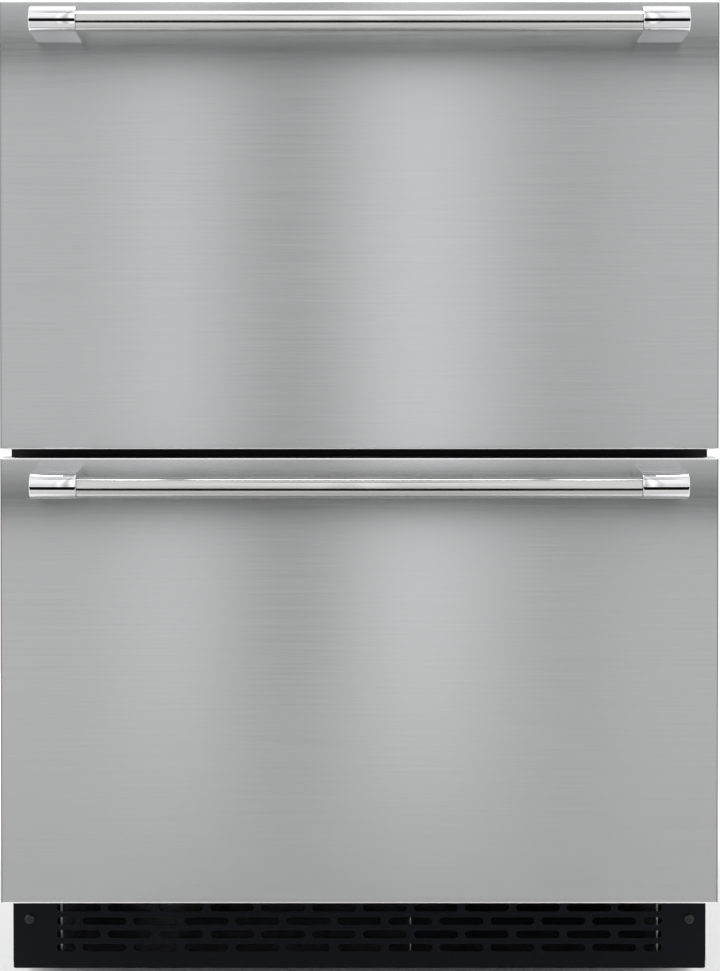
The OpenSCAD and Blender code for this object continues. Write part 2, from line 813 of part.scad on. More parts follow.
// Appliance inlet with three blades in a recess
module power_inlet() {
    body_d = 22;
    wall = 2;
    flange = [50, 26];
    blade = [2, 16, 4];
    color([0.05, 0.05, 0.05]) difference() {
        union() {
            slab([inlet_x - inlet_w / 2, cover_y - body_d, inlet_z - inlet_h / 2],
                 [inlet_x + inlet_w / 2, cover_y, inlet_z + inlet_h / 2]);
            slab([inlet_x - flange[0] / 2, cover_y - sheet_t - 2, inlet_z - flange[1] / 2],
                 [inlet_x + flange[0] / 2, cover_y - sheet_t, inlet_z + flange[1] / 2]);
        }
        slab([inlet_x - inlet_w / 2 + wall, cover_y - body_d + wall, inlet_z - inlet_h / 2 + wall],
             [inlet_x + inlet_w / 2 - wall, cover_y + cut, inlet_z + inlet_h / 2 - wall]);
    }
    color([0.80, 0.78, 0.70]) for (pin = [[-7, -2.5], [0, 2.5], [7, -2.5]])
        translate([inlet_x + pin[0], cover_y - body_d + wall, inlet_z + pin[1]])
            translate([-blade[0] / 2, 0, -blade[2] / 2]) cube(blade);
}

// ---------------------------------------------------------------- inside the storage space

// Cover over the evaporator, with a fan grille and a return inlet
module evaporator_cover() {
    half = 232;
    plate = 3;
    low_z = step_z + 6;
    high_z = ceiling_z - 4;
    ring_t = 3;
    spoke_w = 2.5;
    spoke_in = 0.4;
    open_r = evap_fan / 2 - 4;
    color([0.92, 0.93, 0.94]) {
        difference() {
            slab([-half, evap_y, low_z], [half, liner_back_y, high_z]);
            slab([-half + plate, evap_y + plate, low_z - cut],
                 [half - plate, liner_back_y + cut, high_z - plate]);
            translate([0, evap_y - cut, evap_fan_z]) rotate([-90, 0, 0])
                cylinder(r = open_r, h = plate + 2 * cut);
            for (i = [-10 : 10])
                along_y(evap_y - cut, evap_y + plate + cut)
                    translate([i * 20, low_z + 44]) rotate(90) slot_shape(56, 8);
        }
        translate([0, evap_y, evap_fan_z]) rotate([-90, 0, 0]) {
            for (r = [14 : 11 : open_r - 4]) difference() {
                cylinder(r = r + ring_t / 2, h = plate);
                translate([0, 0, -cut]) cylinder(r = r - ring_t / 2, h = plate + 2 * cut);
            }
            for (turn = [0 : 60 : 120])
                rotate([0, 0, turn]) translate([-open_r - 0.5, -spoke_w / 2, spoke_in])
                    cube([2 * open_r + 1, spoke_w, plate - 2 * spoke_in]);
        }
    }
}

// Light strip on the ceiling
module led_light() {
    color([0.96, 0.97, 1.0]) difference() {
        slab([-130, control_y + control_depth + 10, ceiling_z - 7],
             [130, control_y + control_depth + 30, ceiling_z]);
        for (end = [-1, 1])
            translate([end * 130, 0, ceiling_z - 7]) rotate([0, 45, 0])
                slab([-3, control_y, -3], [3, control_y + control_depth + 40, 3]);
    }
}

// Housing of the controls, hung from the ceiling
module control_housing() {
    half = control_w / 2;
    color([0.12, 0.12, 0.13]) difference() {
        slab([-half, control_y, control_z], [half, control_y + control_depth, ceiling_z]);
        slab([-half + control_t, control_y + control_t, control_z + control_t],
             [half - control_t, control_y + control_depth - control_t, ceiling_z - control_t]);
        slab([-display_w / 2, control_y - cut, display_z],
             [display_w / 2, control_y + control_t + cut, display_z + display_h]);
        button_places() rotate([-90, 0, 0]) translate([0, 0, -cut])
            cylinder(d = button_d + 0.6, h = control_t + 2 * cut);
    }
}

// Window of the display
module control_display() {
    color([0.03, 0.05, 0.07])
        slab([-display_w / 2, control_y + 0.4, display_z],
             [display_w / 2, control_y + control_t, display_z + display_h]);
}

// Places of the push buttons
module button_places() {
    for (x = button_x) translate([x, control_y, control_z + control_h / 2]) children();
}

// Push button with a flange that keeps it in the housing
module button(i) {
    proud = button_travel + 0.8;
    color([0.75, 0.76, 0.77]) translate([button_x[i], control_y, control_z + control_h / 2])
        rotate([-90, 0, 0]) {
            translate([0, 0, -proud]) cylinder(d = button_d, h = proud + control_t + 0.5);
            translate([0, 0, control_t + 0.3]) cylinder(d = button_d + 3, h = 1.5);
        }
}

// ---------------------------------------------------------------- drawer slides

// Profile of a slide member in the width from the wall (u) and the height (v)
module channel(u0, u1, half_height, web_at_wall) {
    web_u = web_at_wall ? u0 : u1 - slide_t;
    translate([web_u, -half_height]) square([slide_t, 2 * half_height]);
    for (v = [-half_height, half_height - slide_t]) translate([u0, v]) square([u1 - u0, slide_t]);
}

// One pair of members, running along Y and mirrored to both walls
module slide_pair(z, y0, length, u0, u1, half_height, web_at_wall) {
    color([0.66, 0.68, 0.70]) both_sides()
        along_y(y0, y0 + length)
            translate([cavity_half, z]) mirror([1, 0]) channel(u0, u1, half_height, web_at_wall);
}

function slide_z(box_z) = box_z + slide_up;

module slide_outer_members() {
    slide_pair(slide_z(upper_box_z), slide_y, upper_slide_len, 0, 9, outer_half, true);
    slide_pair(slide_z(lower_box_z), slide_y, lower_slide_len, 0, 9, outer_half, true);
}

module slide_middle(box_z, length) {
    slide_pair(slide_z(box_z), slide_y, length, 2.5, 10, middle_half, true);
}

module slide_inner(box_z, length) {
    slide_pair(slide_z(box_z), slide_y, length, 5, slide_w, inner_half, false);
}

// Balls in the four races of a slide, which ride with the middle member
module slide_balls(box_z, length) {
    ball_d = ball_gap - 0.2;
    per_race = 4;
    outer_v = middle_half + ball_gap / 2;
    inner_v = inner_half + ball_gap / 2;
    spread = length * 0.4 / per_race;
    color([0.85, 0.86, 0.88]) both_sides()
        for (i = [0 : per_race - 1], v = [-1, 1]) {
            translate([cavity_half - 6, slide_y + length * 0.55 + i * spread, slide_z(box_z) + v * outer_v])
                sphere(d = ball_d, $fn = 16);
            translate([cavity_half - 7.5, slide_y + length * 0.08 + i * spread,
                       slide_z(box_z) + v * inner_v])
                sphere(d = ball_d, $fn = 16);
        }
}

// ---------------------------------------------------------------- drawers

// Box with bevelled front edges
module bevelled_front(w, z, h, depth, bevel) {
    intersection() {
        along_x(w) polygon([
            [face_y + bevel, z], [face_y + depth, z], [face_y + depth, z + h], [face_y + bevel, z + h],
            [face_y, z + h - bevel], [face_y, z + bevel]
        ]);
        translate([0, 0, z - cut]) linear_extrude(h + 2 * cut) polygon([
            [-w / 2, face_y + bevel], [-w / 2 + bevel, face_y], [w / 2 - bevel, face_y],
            [w / 2, face_y + bevel], [w / 2, face_y + depth], [-w / 2, face_y + depth]
        ]);
    }
}

// Stainless sheet wrapped over the front and its edges
module front_skin(z) {
    color([0.72, 0.72, 0.73]) difference() {
        bevelled_front(front_w, z, front_h, skin_depth, skin_bevel);
        slab([-front_w / 2 + skin_t, face_y + skin_t, z + skin_t],
             [front_w / 2 - skin_t, face_y + skin_depth + cut, z + front_h - skin_t]);
    }
}

// Foam that fills the skin and the inner panel
module front_core(z) {
    inset = panel_inset + panel_t;
    color([0.93, 0.86, 0.62]) {
        slab([-front_w / 2 + skin_t, face_y + skin_t, z + skin_t],
             [front_w / 2 - skin_t, face_y + skin_depth - panel_t, z + front_h - skin_t]);
        slab([-front_w / 2 + inset, face_y + skin_depth - panel_t - cut / 2, z + inset],
             [front_w / 2 - inset, panel_back_y - panel_t, z + front_h - inset]);
    }
}

// Black moulded pan that closes the back of the front
module inner_panel(z) {
    inset = panel_inset + panel_t;
    color([0.06, 0.06, 0.07]) difference() {
        union() {
            slab([-front_w / 2 + panel_inset, face_y + skin_depth - panel_t, z + panel_inset],
                 [front_w / 2 - panel_inset, panel_back_y, z + front_h - panel_inset]);
            slab([-front_w / 2 + skin_t, face_y + skin_depth - panel_t, z + skin_t],
                 [front_w / 2 - skin_t, face_y + skin_depth, z + front_h - skin_t]);
        }
        slab([-front_w / 2 + inset, face_y, z + inset],
             [front_w / 2 - inset, panel_back_y - panel_t, z + front_h - inset]);
    }
}

// A rectangular ring in X and Z
module ring(half, z0, z1, w, y0, y1) {
    difference() {
        slab([-half, y0, z0], [half, y1, z1]);
        slab([-half + w, y0 - cut, z0 + w], [half - w, y1 + cut, z1 - w]);
    }
}

// Magnetic gasket: a broad foot on the panel and a narrower bulb
module gasket(z) {
    edge = panel_inset + 3;
    foot = 3;
    lip = 2;
    half = front_w / 2 - edge;
    color([0.08, 0.08, 0.08]) {
        ring(half, z + edge, z + front_h - edge, gasket_w, panel_back_y, panel_back_y + foot);
        ring(half - lip, z + edge + lip, z + front_h - edge - lip, gasket_w - 2 * lip,
             panel_back_y + foot, frame_y - 0.5);
    }
}

// Drawer box: floor, four walls and a rim
module drawer_box(z, depth) {
    half = box_half;
    y1 = panel_back_y + depth;
    color([0.78, 0.79, 0.80]) difference() {
        union() {
            slab([-half, panel_back_y, z], [half, y1, z + box_h]);
            slab([-half - box_rim, panel_back_y, z + box_h - box_t],
                 [half + box_rim, y1 + box_rim, z + box_h]);
        }
        slab([-half + box_t, panel_back_y + box_t, z + box_t], [half - box_t, y1 - box_t, z + box_h + cut]);
    }
}

// Tube of a handle, between its posts
module handle_tube(z) {
    half = front_w / 2 - post_edge - post_w;
    color([0.80, 0.80, 0.81]) translate([-half, face_y - tube_out, z + front_h - tube_drop])
        rotate([0, 90, 0]) difference() {
            cylinder(d = tube_d, h = 2 * half);
            translate([0, 0, 6]) cylinder(d = tube_d - 2 * tube_wall, h = 2 * half - 12);
        }
}

// Polished end posts: a round nose on a foot that spreads to the front's face
module handle_posts(z) {
    nose_z = z + front_h - tube_drop + nose_rise;
    foot_z = nose_z - post_foot_drop;
    centre = [face_y - tube_out, nose_z];
    r = nose_d / 2;
    top = [face_y, foot_z + post_foot_h / 2];
    low = [face_y, foot_z - post_foot_h / 2];
    // The flanks leave the nose where they touch its circle
    rise = atan2(top[1] - nose_z, tube_out);
    fall = atan2(nose_z - low[1], tube_out);
    open_top = acos(r / norm(top - centre));
    open_low = acos(r / norm(low - centre));
    color([0.88, 0.88, 0.90]) both_sides()
        translate([front_w / 2 - post_edge - post_w / 2, 0, 0]) along_x(post_w)
            polygon(concat([top], arc(centre, r, rise + open_top, 360 - fall - open_low, 24), [low]));
}

// ---------------------------------------------------------------- nodes

outer_wrapper();
underside_panel();
rear_panel();
insulation_foam();
inner_liner();
front_frame();
mullion();
base_tray();
base_side_rails();
toe_grille();
panel_screws();
air_baffle();
compressor();
compressor_grommets();
compressor_relay_box();
condenser_coil();
at_condenser_fan() fan_frame(cond_fan);  // condenser_fan_frame
at_condenser_fan() fan_blade(cond_fan);  // condenser_fan_blade
drip_pan();
drain_tube();
refrigerant_pipes();
filter_drier();
machine_cover();
power_inlet();
evaporator_coil();
evaporator_cover();
at_evaporator_fan() fan_frame(evap_fan);  // evaporator_fan_frame
at_evaporator_fan() fan_blade(evap_fan);  // evaporator_fan_blade
led_light();
control_housing();
control_display();
button(0);  // button_power
button(1);  // button_colder
button(2);  // button_warmer
button(3);  // button_light
foot(-1, true);  // foot_front_left
foot(1, true);  // foot_front_right
foot(-1, false);  // foot_rear_left
foot(1, false);  // foot_rear_right
slide_outer_members();
front_skin(upper_z);  // upper_front_skin
front_core(upper_z);  // upper_front_core
inner_panel(upper_z);  // upper_inner_panel
gasket(upper_z);  // upper_gasket
handle_tube(upper_z);  // upper_handle_tube
handle_posts(upper_z);  // upper_handle_posts
drawer_box(upper_box_z, upper_box_depth);  // upper_drawer_box
slide_inner(upper_box_z, upper_slide_len);  // upper_slide_inner
slide_middle(upper_box_z, upper_slide_len);  // upper_slide_middle
slide_balls(upper_box_z, upper_slide_len);  // upper_slide_balls
front_skin(lower_z);  // lower_front_skin
front_core(lower_z);  // lower_front_core
inner_panel(lower_z);  // lower_inner_panel
gasket(lower_z);  // lower_gasket
handle_tube(lower_z);  // lower_handle_tube
handle_posts(lower_z);  // lower_handle_posts
drawer_box(lower_box_z, lower_box_depth);  // lower_drawer_box
slide_inner(lower_box_z, lower_slide_len);  // lower_slide_inner
slide_middle(lower_box_z, lower_slide_len);  // lower_slide_middle
slide_balls(lower_box_z, lower_slide_len);  // lower_slide_balls
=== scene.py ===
import json
import logging
import math
from dataclasses import dataclass, field
from enum import Enum
from typing import Iterable, Sequence

import bmesh
import bpy
import numpy as np
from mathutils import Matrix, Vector


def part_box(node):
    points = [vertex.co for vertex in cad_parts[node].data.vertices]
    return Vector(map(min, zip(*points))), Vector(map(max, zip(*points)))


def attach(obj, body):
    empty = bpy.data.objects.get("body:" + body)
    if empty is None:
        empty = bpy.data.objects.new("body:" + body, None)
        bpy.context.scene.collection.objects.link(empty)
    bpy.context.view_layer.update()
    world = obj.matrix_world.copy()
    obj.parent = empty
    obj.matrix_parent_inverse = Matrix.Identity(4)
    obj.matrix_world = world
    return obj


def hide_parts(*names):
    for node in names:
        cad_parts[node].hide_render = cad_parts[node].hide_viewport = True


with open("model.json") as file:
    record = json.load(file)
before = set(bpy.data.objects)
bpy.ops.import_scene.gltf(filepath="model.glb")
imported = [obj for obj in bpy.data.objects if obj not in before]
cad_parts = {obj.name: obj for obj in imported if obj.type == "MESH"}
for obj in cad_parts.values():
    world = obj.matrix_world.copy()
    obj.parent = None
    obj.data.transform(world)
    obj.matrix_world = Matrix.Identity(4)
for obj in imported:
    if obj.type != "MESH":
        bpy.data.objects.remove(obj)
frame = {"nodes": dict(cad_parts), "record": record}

LOG = logging.getLogger("fridge")
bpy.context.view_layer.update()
SLOT_OF = {part["node"]: part["material_slot"] for part in frame["record"]["subparts"]}
BODY_OF = {node: body for body, nodes in frame["record"]["behaviour"]["bodies"].items() for node in nodes}
X, Y, Z = np.eye(3)
MM = 0.001
SEAL = 2e-6
NOSE_RISE = 1.6 * MM  # how far a post's nose stands above the middle of its tube
Object = bpy.types.Object
Grid = np.ndarray


# ------------------------------------------------------------------ finishes

class Grain(Enum):
    """How the surface of a finish is made."""

    BRUSHED = "long scratches along X"
    POLISHED = "buffed metal"
    ROLLED = "cold rolled sheet"
    POWDER = "baked powder paint"
    SPANGLE = "zinc crystals"
    MOULDED = "spark-textured plastic"
    RUBBER = "dull rubber"
    FOAM = "blown foam"
    GLASS = "clear and even"


@dataclass(frozen=True)
class Weave:
    """Pattern of a grain: stretch of its noise, its scale per metre, and how far each value swings."""

    stretch: tuple[float, float, float]
    scale: float
    tone: float
    gloss: float
    relief: float


WEAVES: dict[Grain, Weave] = {
    Grain.BRUSHED: Weave((0.012, 1.0, 1.0), 750.0, 0.085, 0.02, 0.000006),
    Grain.POLISHED: Weave((0.15, 1.0, 1.0), 260.0, 0.02, 0.015, 0.0),
    Grain.ROLLED: Weave((0.08, 1.0, 1.0), 500.0, 0.05, 0.06, 0.000004),
    Grain.POWDER: Weave((1.0, 1.0, 1.0), 900.0, 0.10, 0.08, 0.00003),
    Grain.SPANGLE: Weave((1.0, 1.0, 1.0), 130.0, 0.07, 0.05, 0.0),
    Grain.MOULDED: Weave((1.0, 1.0, 1.0), 1400.0, 0.08, 0.07, 0.00002),
    Grain.RUBBER: Weave((1.0, 1.0, 1.0), 700.0, 0.14, 0.08, 0.00003),
    Grain.FOAM: Weave((1.0, 1.0, 1.0), 420.0, 0.16, 0.05, 0.0002),
    Grain.GLASS: Weave((1.0, 1.0, 1.0), 40.0, 0.04, 0.02, 0.0),
}


def math_node(tree: bpy.types.NodeTree, operation: str, *values: object) -> bpy.types.NodeSocket:
    """Adds one Math node.

    Args:
        tree: the node tree it goes into.
        operation: name of the operation.
        values: its inputs, each a socket or a number.

    Returns:
        Its result.
    """
    node = tree.nodes.new("ShaderNodeMath")
    node.operation = operation
    for socket, value in zip(node.inputs, values):
        if isinstance(value, bpy.types.NodeSocket):
            tree.links.new(value, socket)
        else:
            socket.default_value = value
    return node.outputs[0]


@dataclass(frozen=True)
class Finish:
    """One material: its colour, gloss and grain, with slow wear and cloudiness over the fine pattern."""

    colour: tuple[float, float, float]
    grain: Grain
    metal: float = 0.0
    rough: float = 0.5
    flow: float = 0.0
    flow_turn: float = 0.0
    coat: float = 0.0
    clear: float = 0.0
    glow: float = 0.0
    shine: float = 0.5

    def material(self, name: str) -> bpy.types.Material:
        """Builds the node material.

        Args:
            name: name of the material.

        Returns:
            The material, patterned on Object coordinates.
        """
        made = bpy.data.materials.new(name)
        made.use_nodes = True
        tree = made.node_tree
        shader = tree.nodes["Principled BSDF"]
        weave = WEAVES[self.grain]
        fine = self._fine(tree, weave)
        cloud = self._noise(tree, (1.0, 1.0, 1.0), 7.0, 3.0)
        both = math_node(tree, "MULTIPLY_ADD", fine, 0.7, math_node(tree, "MULTIPLY", cloud, 0.3))
        low = tuple(c * (1.0 - weave.tone) for c in self.colour)
        high = tuple(min(1.0, c * (1.0 + weave.tone)) for c in self.colour)
        tone = tree.nodes.new("ShaderNodeMix")
        tone.data_type = "RGBA"
        tone.inputs["A"].default_value = (*low, 1.0)
        tone.inputs["B"].default_value = (*high, 1.0)
        tree.links.new(both, tone.inputs["Factor"])
        tree.links.new(tone.outputs["Result"], shader.inputs["Base Color"])
        gloss = tree.nodes.new("ShaderNodeMapRange")
        gloss.inputs["From Min"].default_value, gloss.inputs["From Max"].default_value = 0.25, 0.75
        gloss.inputs["To Min"].default_value = max(0.02, self.rough - weave.gloss)
        gloss.inputs["To Max"].default_value = self.rough + weave.gloss
        tree.links.new(both, gloss.inputs["Value"])
        tree.links.new(gloss.outputs["Result"], shader.inputs["Roughness"])
        if weave.relief:
            bump = tree.nodes.new("ShaderNodeBump")
            bump.inputs["Distance"].default_value = weave.relief
            bump.inputs["Strength"].default_value = 1.0
            tree.links.new(fine, bump.inputs["Height"])
            tree.links.new(bump.outputs["Normal"], shader.inputs["Normal"])
        shader.inputs["Metallic"].default_value = self.metal
        shader.inputs["Specular IOR Level"].default_value = self.shine
        shader.inputs["Anisotropic"].default_value = self.flow
        shader.inputs["Anisotropic Rotation"].default_value = self.flow_turn
        shader.inputs["Coat Weight"].default_value = self.coat
        shader.inputs["Coat Roughness"].default_value = 0.12
        shader.inputs["Transmission Weight"].default_value = self.clear
        if self.glow:
            shader.inputs["Emission Color"].default_value = (*self.colour, 1.0)
            shader.inputs["Emission Strength"].default_value = self.glow
        return made

    def _fine(self, tree: bpy.types.NodeTree, weave: Weave) -> bpy.types.NodeSocket:
        """Adds the fine pattern: crystals for zinc, noise for the rest, and returns its value.

        Args:
            tree: the node tree.
            weave: the pattern of the grain.

        Returns:
            Its value.
        """
        if self.grain is not Grain.SPANGLE:
            return self._noise(tree, weave.stretch, weave.scale, 4.0)
        cells = tree.nodes.new("ShaderNodeTexVoronoi")
        cells.inputs["Scale"].default_value = weave.scale
        tree.links.new(self._place(tree, weave.stretch), cells.inputs["Vector"])
        split = tree.nodes.new("ShaderNodeSeparateColor")
        tree.links.new(cells.outputs["Color"], split.inputs["Color"])
        return split.outputs["Red"]

    def _noise(self, tree: bpy.types.NodeTree, stretch: tuple[float, float, float], scale: float,
               detail: float) -> bpy.types.NodeSocket:
        """Adds a noise.

        Args:
            tree: the material's nodes.
            stretch: share of the scale along each axis.
            scale: scale of the noise, per metre.
            detail: octaves of the noise.

        Returns:
            Its value.
        """
        noise = tree.nodes.new("ShaderNodeTexNoise")
        noise.inputs["Scale"].default_value = scale
        noise.inputs["Detail"].default_value = detail
        tree.links.new(self._place(tree, stretch), noise.inputs["Vector"])
        return noise.outputs["Fac"]

    def _place(self, tree: bpy.types.NodeTree, stretch: tuple[float, float, float]) -> bpy.types.NodeSocket:
        """Adds Object coordinates, stretched, and returns them.

        Args:
            tree: the node tree.
            stretch: share of the scale along each axis.

        Returns:
            The stretched coordinates.
        """
        place, turn = tree.nodes.new("ShaderNodeTexCoord"), tree.nodes.new("ShaderNodeMapping")
        turn.inputs["Scale"].default_value = stretch
        tree.links.new(place.outputs["Object"], turn.inputs["Vector"])
        return turn.outputs["Vector"]


FINISHES: dict[str, Finish] = {
    "stainless": Finish((0.468, 0.472, 0.477), Grain.BRUSHED, 1.0, 0.185, 1.0, 0.25),
    "polished_steel": Finish((0.78, 0.78, 0.795), Grain.POLISHED, 1.0, 0.05),
    "handle_steel": Finish((0.57, 0.57, 0.565), Grain.POLISHED, 1.0, 0.14),
    "drawer_steel": Finish((0.50, 0.51, 0.52), Grain.ROLLED, 1.0, 0.33),
    "black_paint": Finish((0.012, 0.012, 0.014), Grain.POWDER, 0.0, 0.42, shine=0.2),
    "grille_paint": Finish((0.0045, 0.0055, 0.008), Grain.POWDER, 0.0, 0.42, shine=0.07),
    "galvanised": Finish((0.44, 0.455, 0.47), Grain.SPANGLE, 1.0, 0.40),
    "slide_zinc": Finish((0.47, 0.48, 0.50), Grain.ROLLED, 1.0, 0.30),
    "ball_steel": Finish((0.78, 0.79, 0.80), Grain.POLISHED, 1.0, 0.08),
    "black_screw": Finish((0.008, 0.008, 0.009), Grain.POLISHED, 0.0, 0.22, shine=0.35),
    "black_plastic": Finish((0.016, 0.016, 0.018), Grain.MOULDED, 0.0, 0.45),
    "liner_plastic": Finish((0.78, 0.79, 0.80), Grain.MOULDED, 0.0, 0.35),
    "cover_plastic": Finish((0.80, 0.81, 0.82), Grain.MOULDED, 0.0, 0.40),
    "foam": Finish((0.80, 0.68, 0.36), Grain.FOAM, 0.0, 0.85),
    "rubber": Finish((0.014, 0.014, 0.015), Grain.RUBBER, 0.0, 0.62, shine=0.25),
    "compressor_paint": Finish((0.014, 0.014, 0.015), Grain.POWDER, 0.0, 0.32, coat=0.4),
    "copper": Finish((0.72, 0.36, 0.20), Grain.POLISHED, 1.0, 0.28),
    "coil_metal": Finish((0.66, 0.67, 0.68), Grain.ROLLED, 1.0, 0.35),
    "clear_tube": Finish((0.86, 0.88, 0.90), Grain.MOULDED, 0.0, 0.25, clear=0.5),
    "display_glass": Finish((0.006, 0.008, 0.010), Grain.GLASS, 0.0, 0.08, coat=0.6),
    "light_lens": Finish((0.95, 0.97, 1.0), Grain.MOULDED, 0.0, 0.30, glow=1.4),
    "button_plastic": Finish((0.62, 0.63, 0.65), Grain.MOULDED, 0.2, 0.35),
}
# Painted light on the skin's bends: a near-white painted highlight and a dark painted shade
FOLD_PAINTED_HIGHLIGHT = Finish((0.94, 0.94, 0.945), Grain.POLISHED, 1.0, 0.22)
FOLD_PAINTED_SHADE = Finish((0.20, 0.20, 0.215), Grain.POLISHED, 1.0, 0.30)
DIGIT_GLOW = Finish((0.55, 0.85, 1.0), Grain.GLASS, 0.0, 0.3, glow=3.0)
FLOOR_PAINT = Finish((0.94, 0.94, 0.94), Grain.GLASS, 0.0, 0.6)
FLAG_CLOTH = Finish((0.004, 0.004, 0.004), Grain.RUBBER, 0.0, 0.9, shine=0.0)
CARD_GREY = Finish((0.58, 0.58, 0.57), Grain.RUBBER, 0.0, 0.9, shine=0.0)
MATERIALS: dict[str, bpy.types.Material] = {slot: finish.material(slot) for slot, finish in FINISHES.items()}


# ------------------------------------------------------------------ shapes

def filleted(points: Sequence[Sequence[float]], radii: float | Sequence[float], steps: int = 5) -> np.ndarray:
    """Rounds the inner corners of an open line with arcs.

    Each arc touches both legs; its centre lies on the line that halves the corner, and its points are
    found by turning evenly from one touching point to the other.

    Args:
        points: corners of the line, in two or three dimensions.
        radii: one radius, or one for each inner corner.
        steps: pieces of each arc.

    Returns:
        The points of the rounded line.
    """
    line = np.asarray(points, float)
    each = np.broadcast_to(np.asarray(radii, float), len(line) - 2)
    out = [line[:1]]
    for before, corner, after, radius in zip(line[:-2], line[1:-1], line[2:], each):
        one, two = before - corner, after - corner
        room = 0.49 * min(np.linalg.norm(one), np.linalg.norm(two))
        one, two = one / np.linalg.norm(one), two / np.linalg.norm(two)
        half = 0.5 * math.acos(float(np.clip(one @ two, -1, 1)))
        sweep = math.pi - 2 * half
        if radius <= 0 or sweep < 0.02:
            out.append(corner[None])
            continue
        reach = min(radius / math.tan(half), room)
        radius = reach * math.tan(half)
        centre = corner + (one + two) / np.linalg.norm(one + two) * radius / math.sin(half)
        t = np.linspace(0, 1, steps + 1)[:, None]
        start, end = corner + one * reach - centre, corner + two * reach - centre
        out.append(centre + (np.sin((1 - t) * sweep) * start + np.sin(t * sweep) * end) / math.sin(sweep))
    out.append(line[-1:])
    return np.concatenate(out)


def filleted_ring(points: Sequence[Sequence[float]], radius: float, steps: int = 4) -> np.ndarray:
    """Rounds every corner of a closed outline with the same radius, and returns its points.

    Args:
        points: corners of the outline.
        radius: radius of each corner.
        steps: pieces of each arc or circle.

    Returns:
        The points of the rounded outline.
    """
    line = np.asarray(points, float)
    wrapped = np.concatenate([line, line[:2]])
    rounded = filleted(wrapped, radius, steps)
    return rounded[1:-1]


def corner_loops(half_u: float, half_v: float, corner: float, inset: np.ndarray, steps: int = 8) -> Grid:
    """Rounded rectangles, one for each inset.

    A corner is a quarter circle of radius corner less inset; once that has shrunk away, its centre
    moves in with the sides.

    Args:
        half_u: half the width.
        half_v: half the height.
        corner: radius of the outermost corners.
        inset: how far each loop lies inside the rectangle.
        steps: pieces of each corner.

    Returns:
        Points of shape (insets, 4 * (steps + 1), 2).
    """
    turn = np.linspace(0, math.pi / 2, steps + 1)
    angle = (turn[None] + np.arange(4)[:, None] * math.pi / 2).ravel()
    side_u = np.repeat([1, -1, -1, 1], steps + 1)
    side_v = np.repeat([1, 1, -1, -1], steps + 1)
    inset = np.asarray(inset, float)[:, None]
    radius = np.maximum(corner - inset, 0.0002)
    u = side_u * (half_u - inset - radius) + radius * np.cos(angle)
    v = side_v * (half_v - inset - radius) + radius * np.sin(angle)
    return np.stack([u, v], -1)


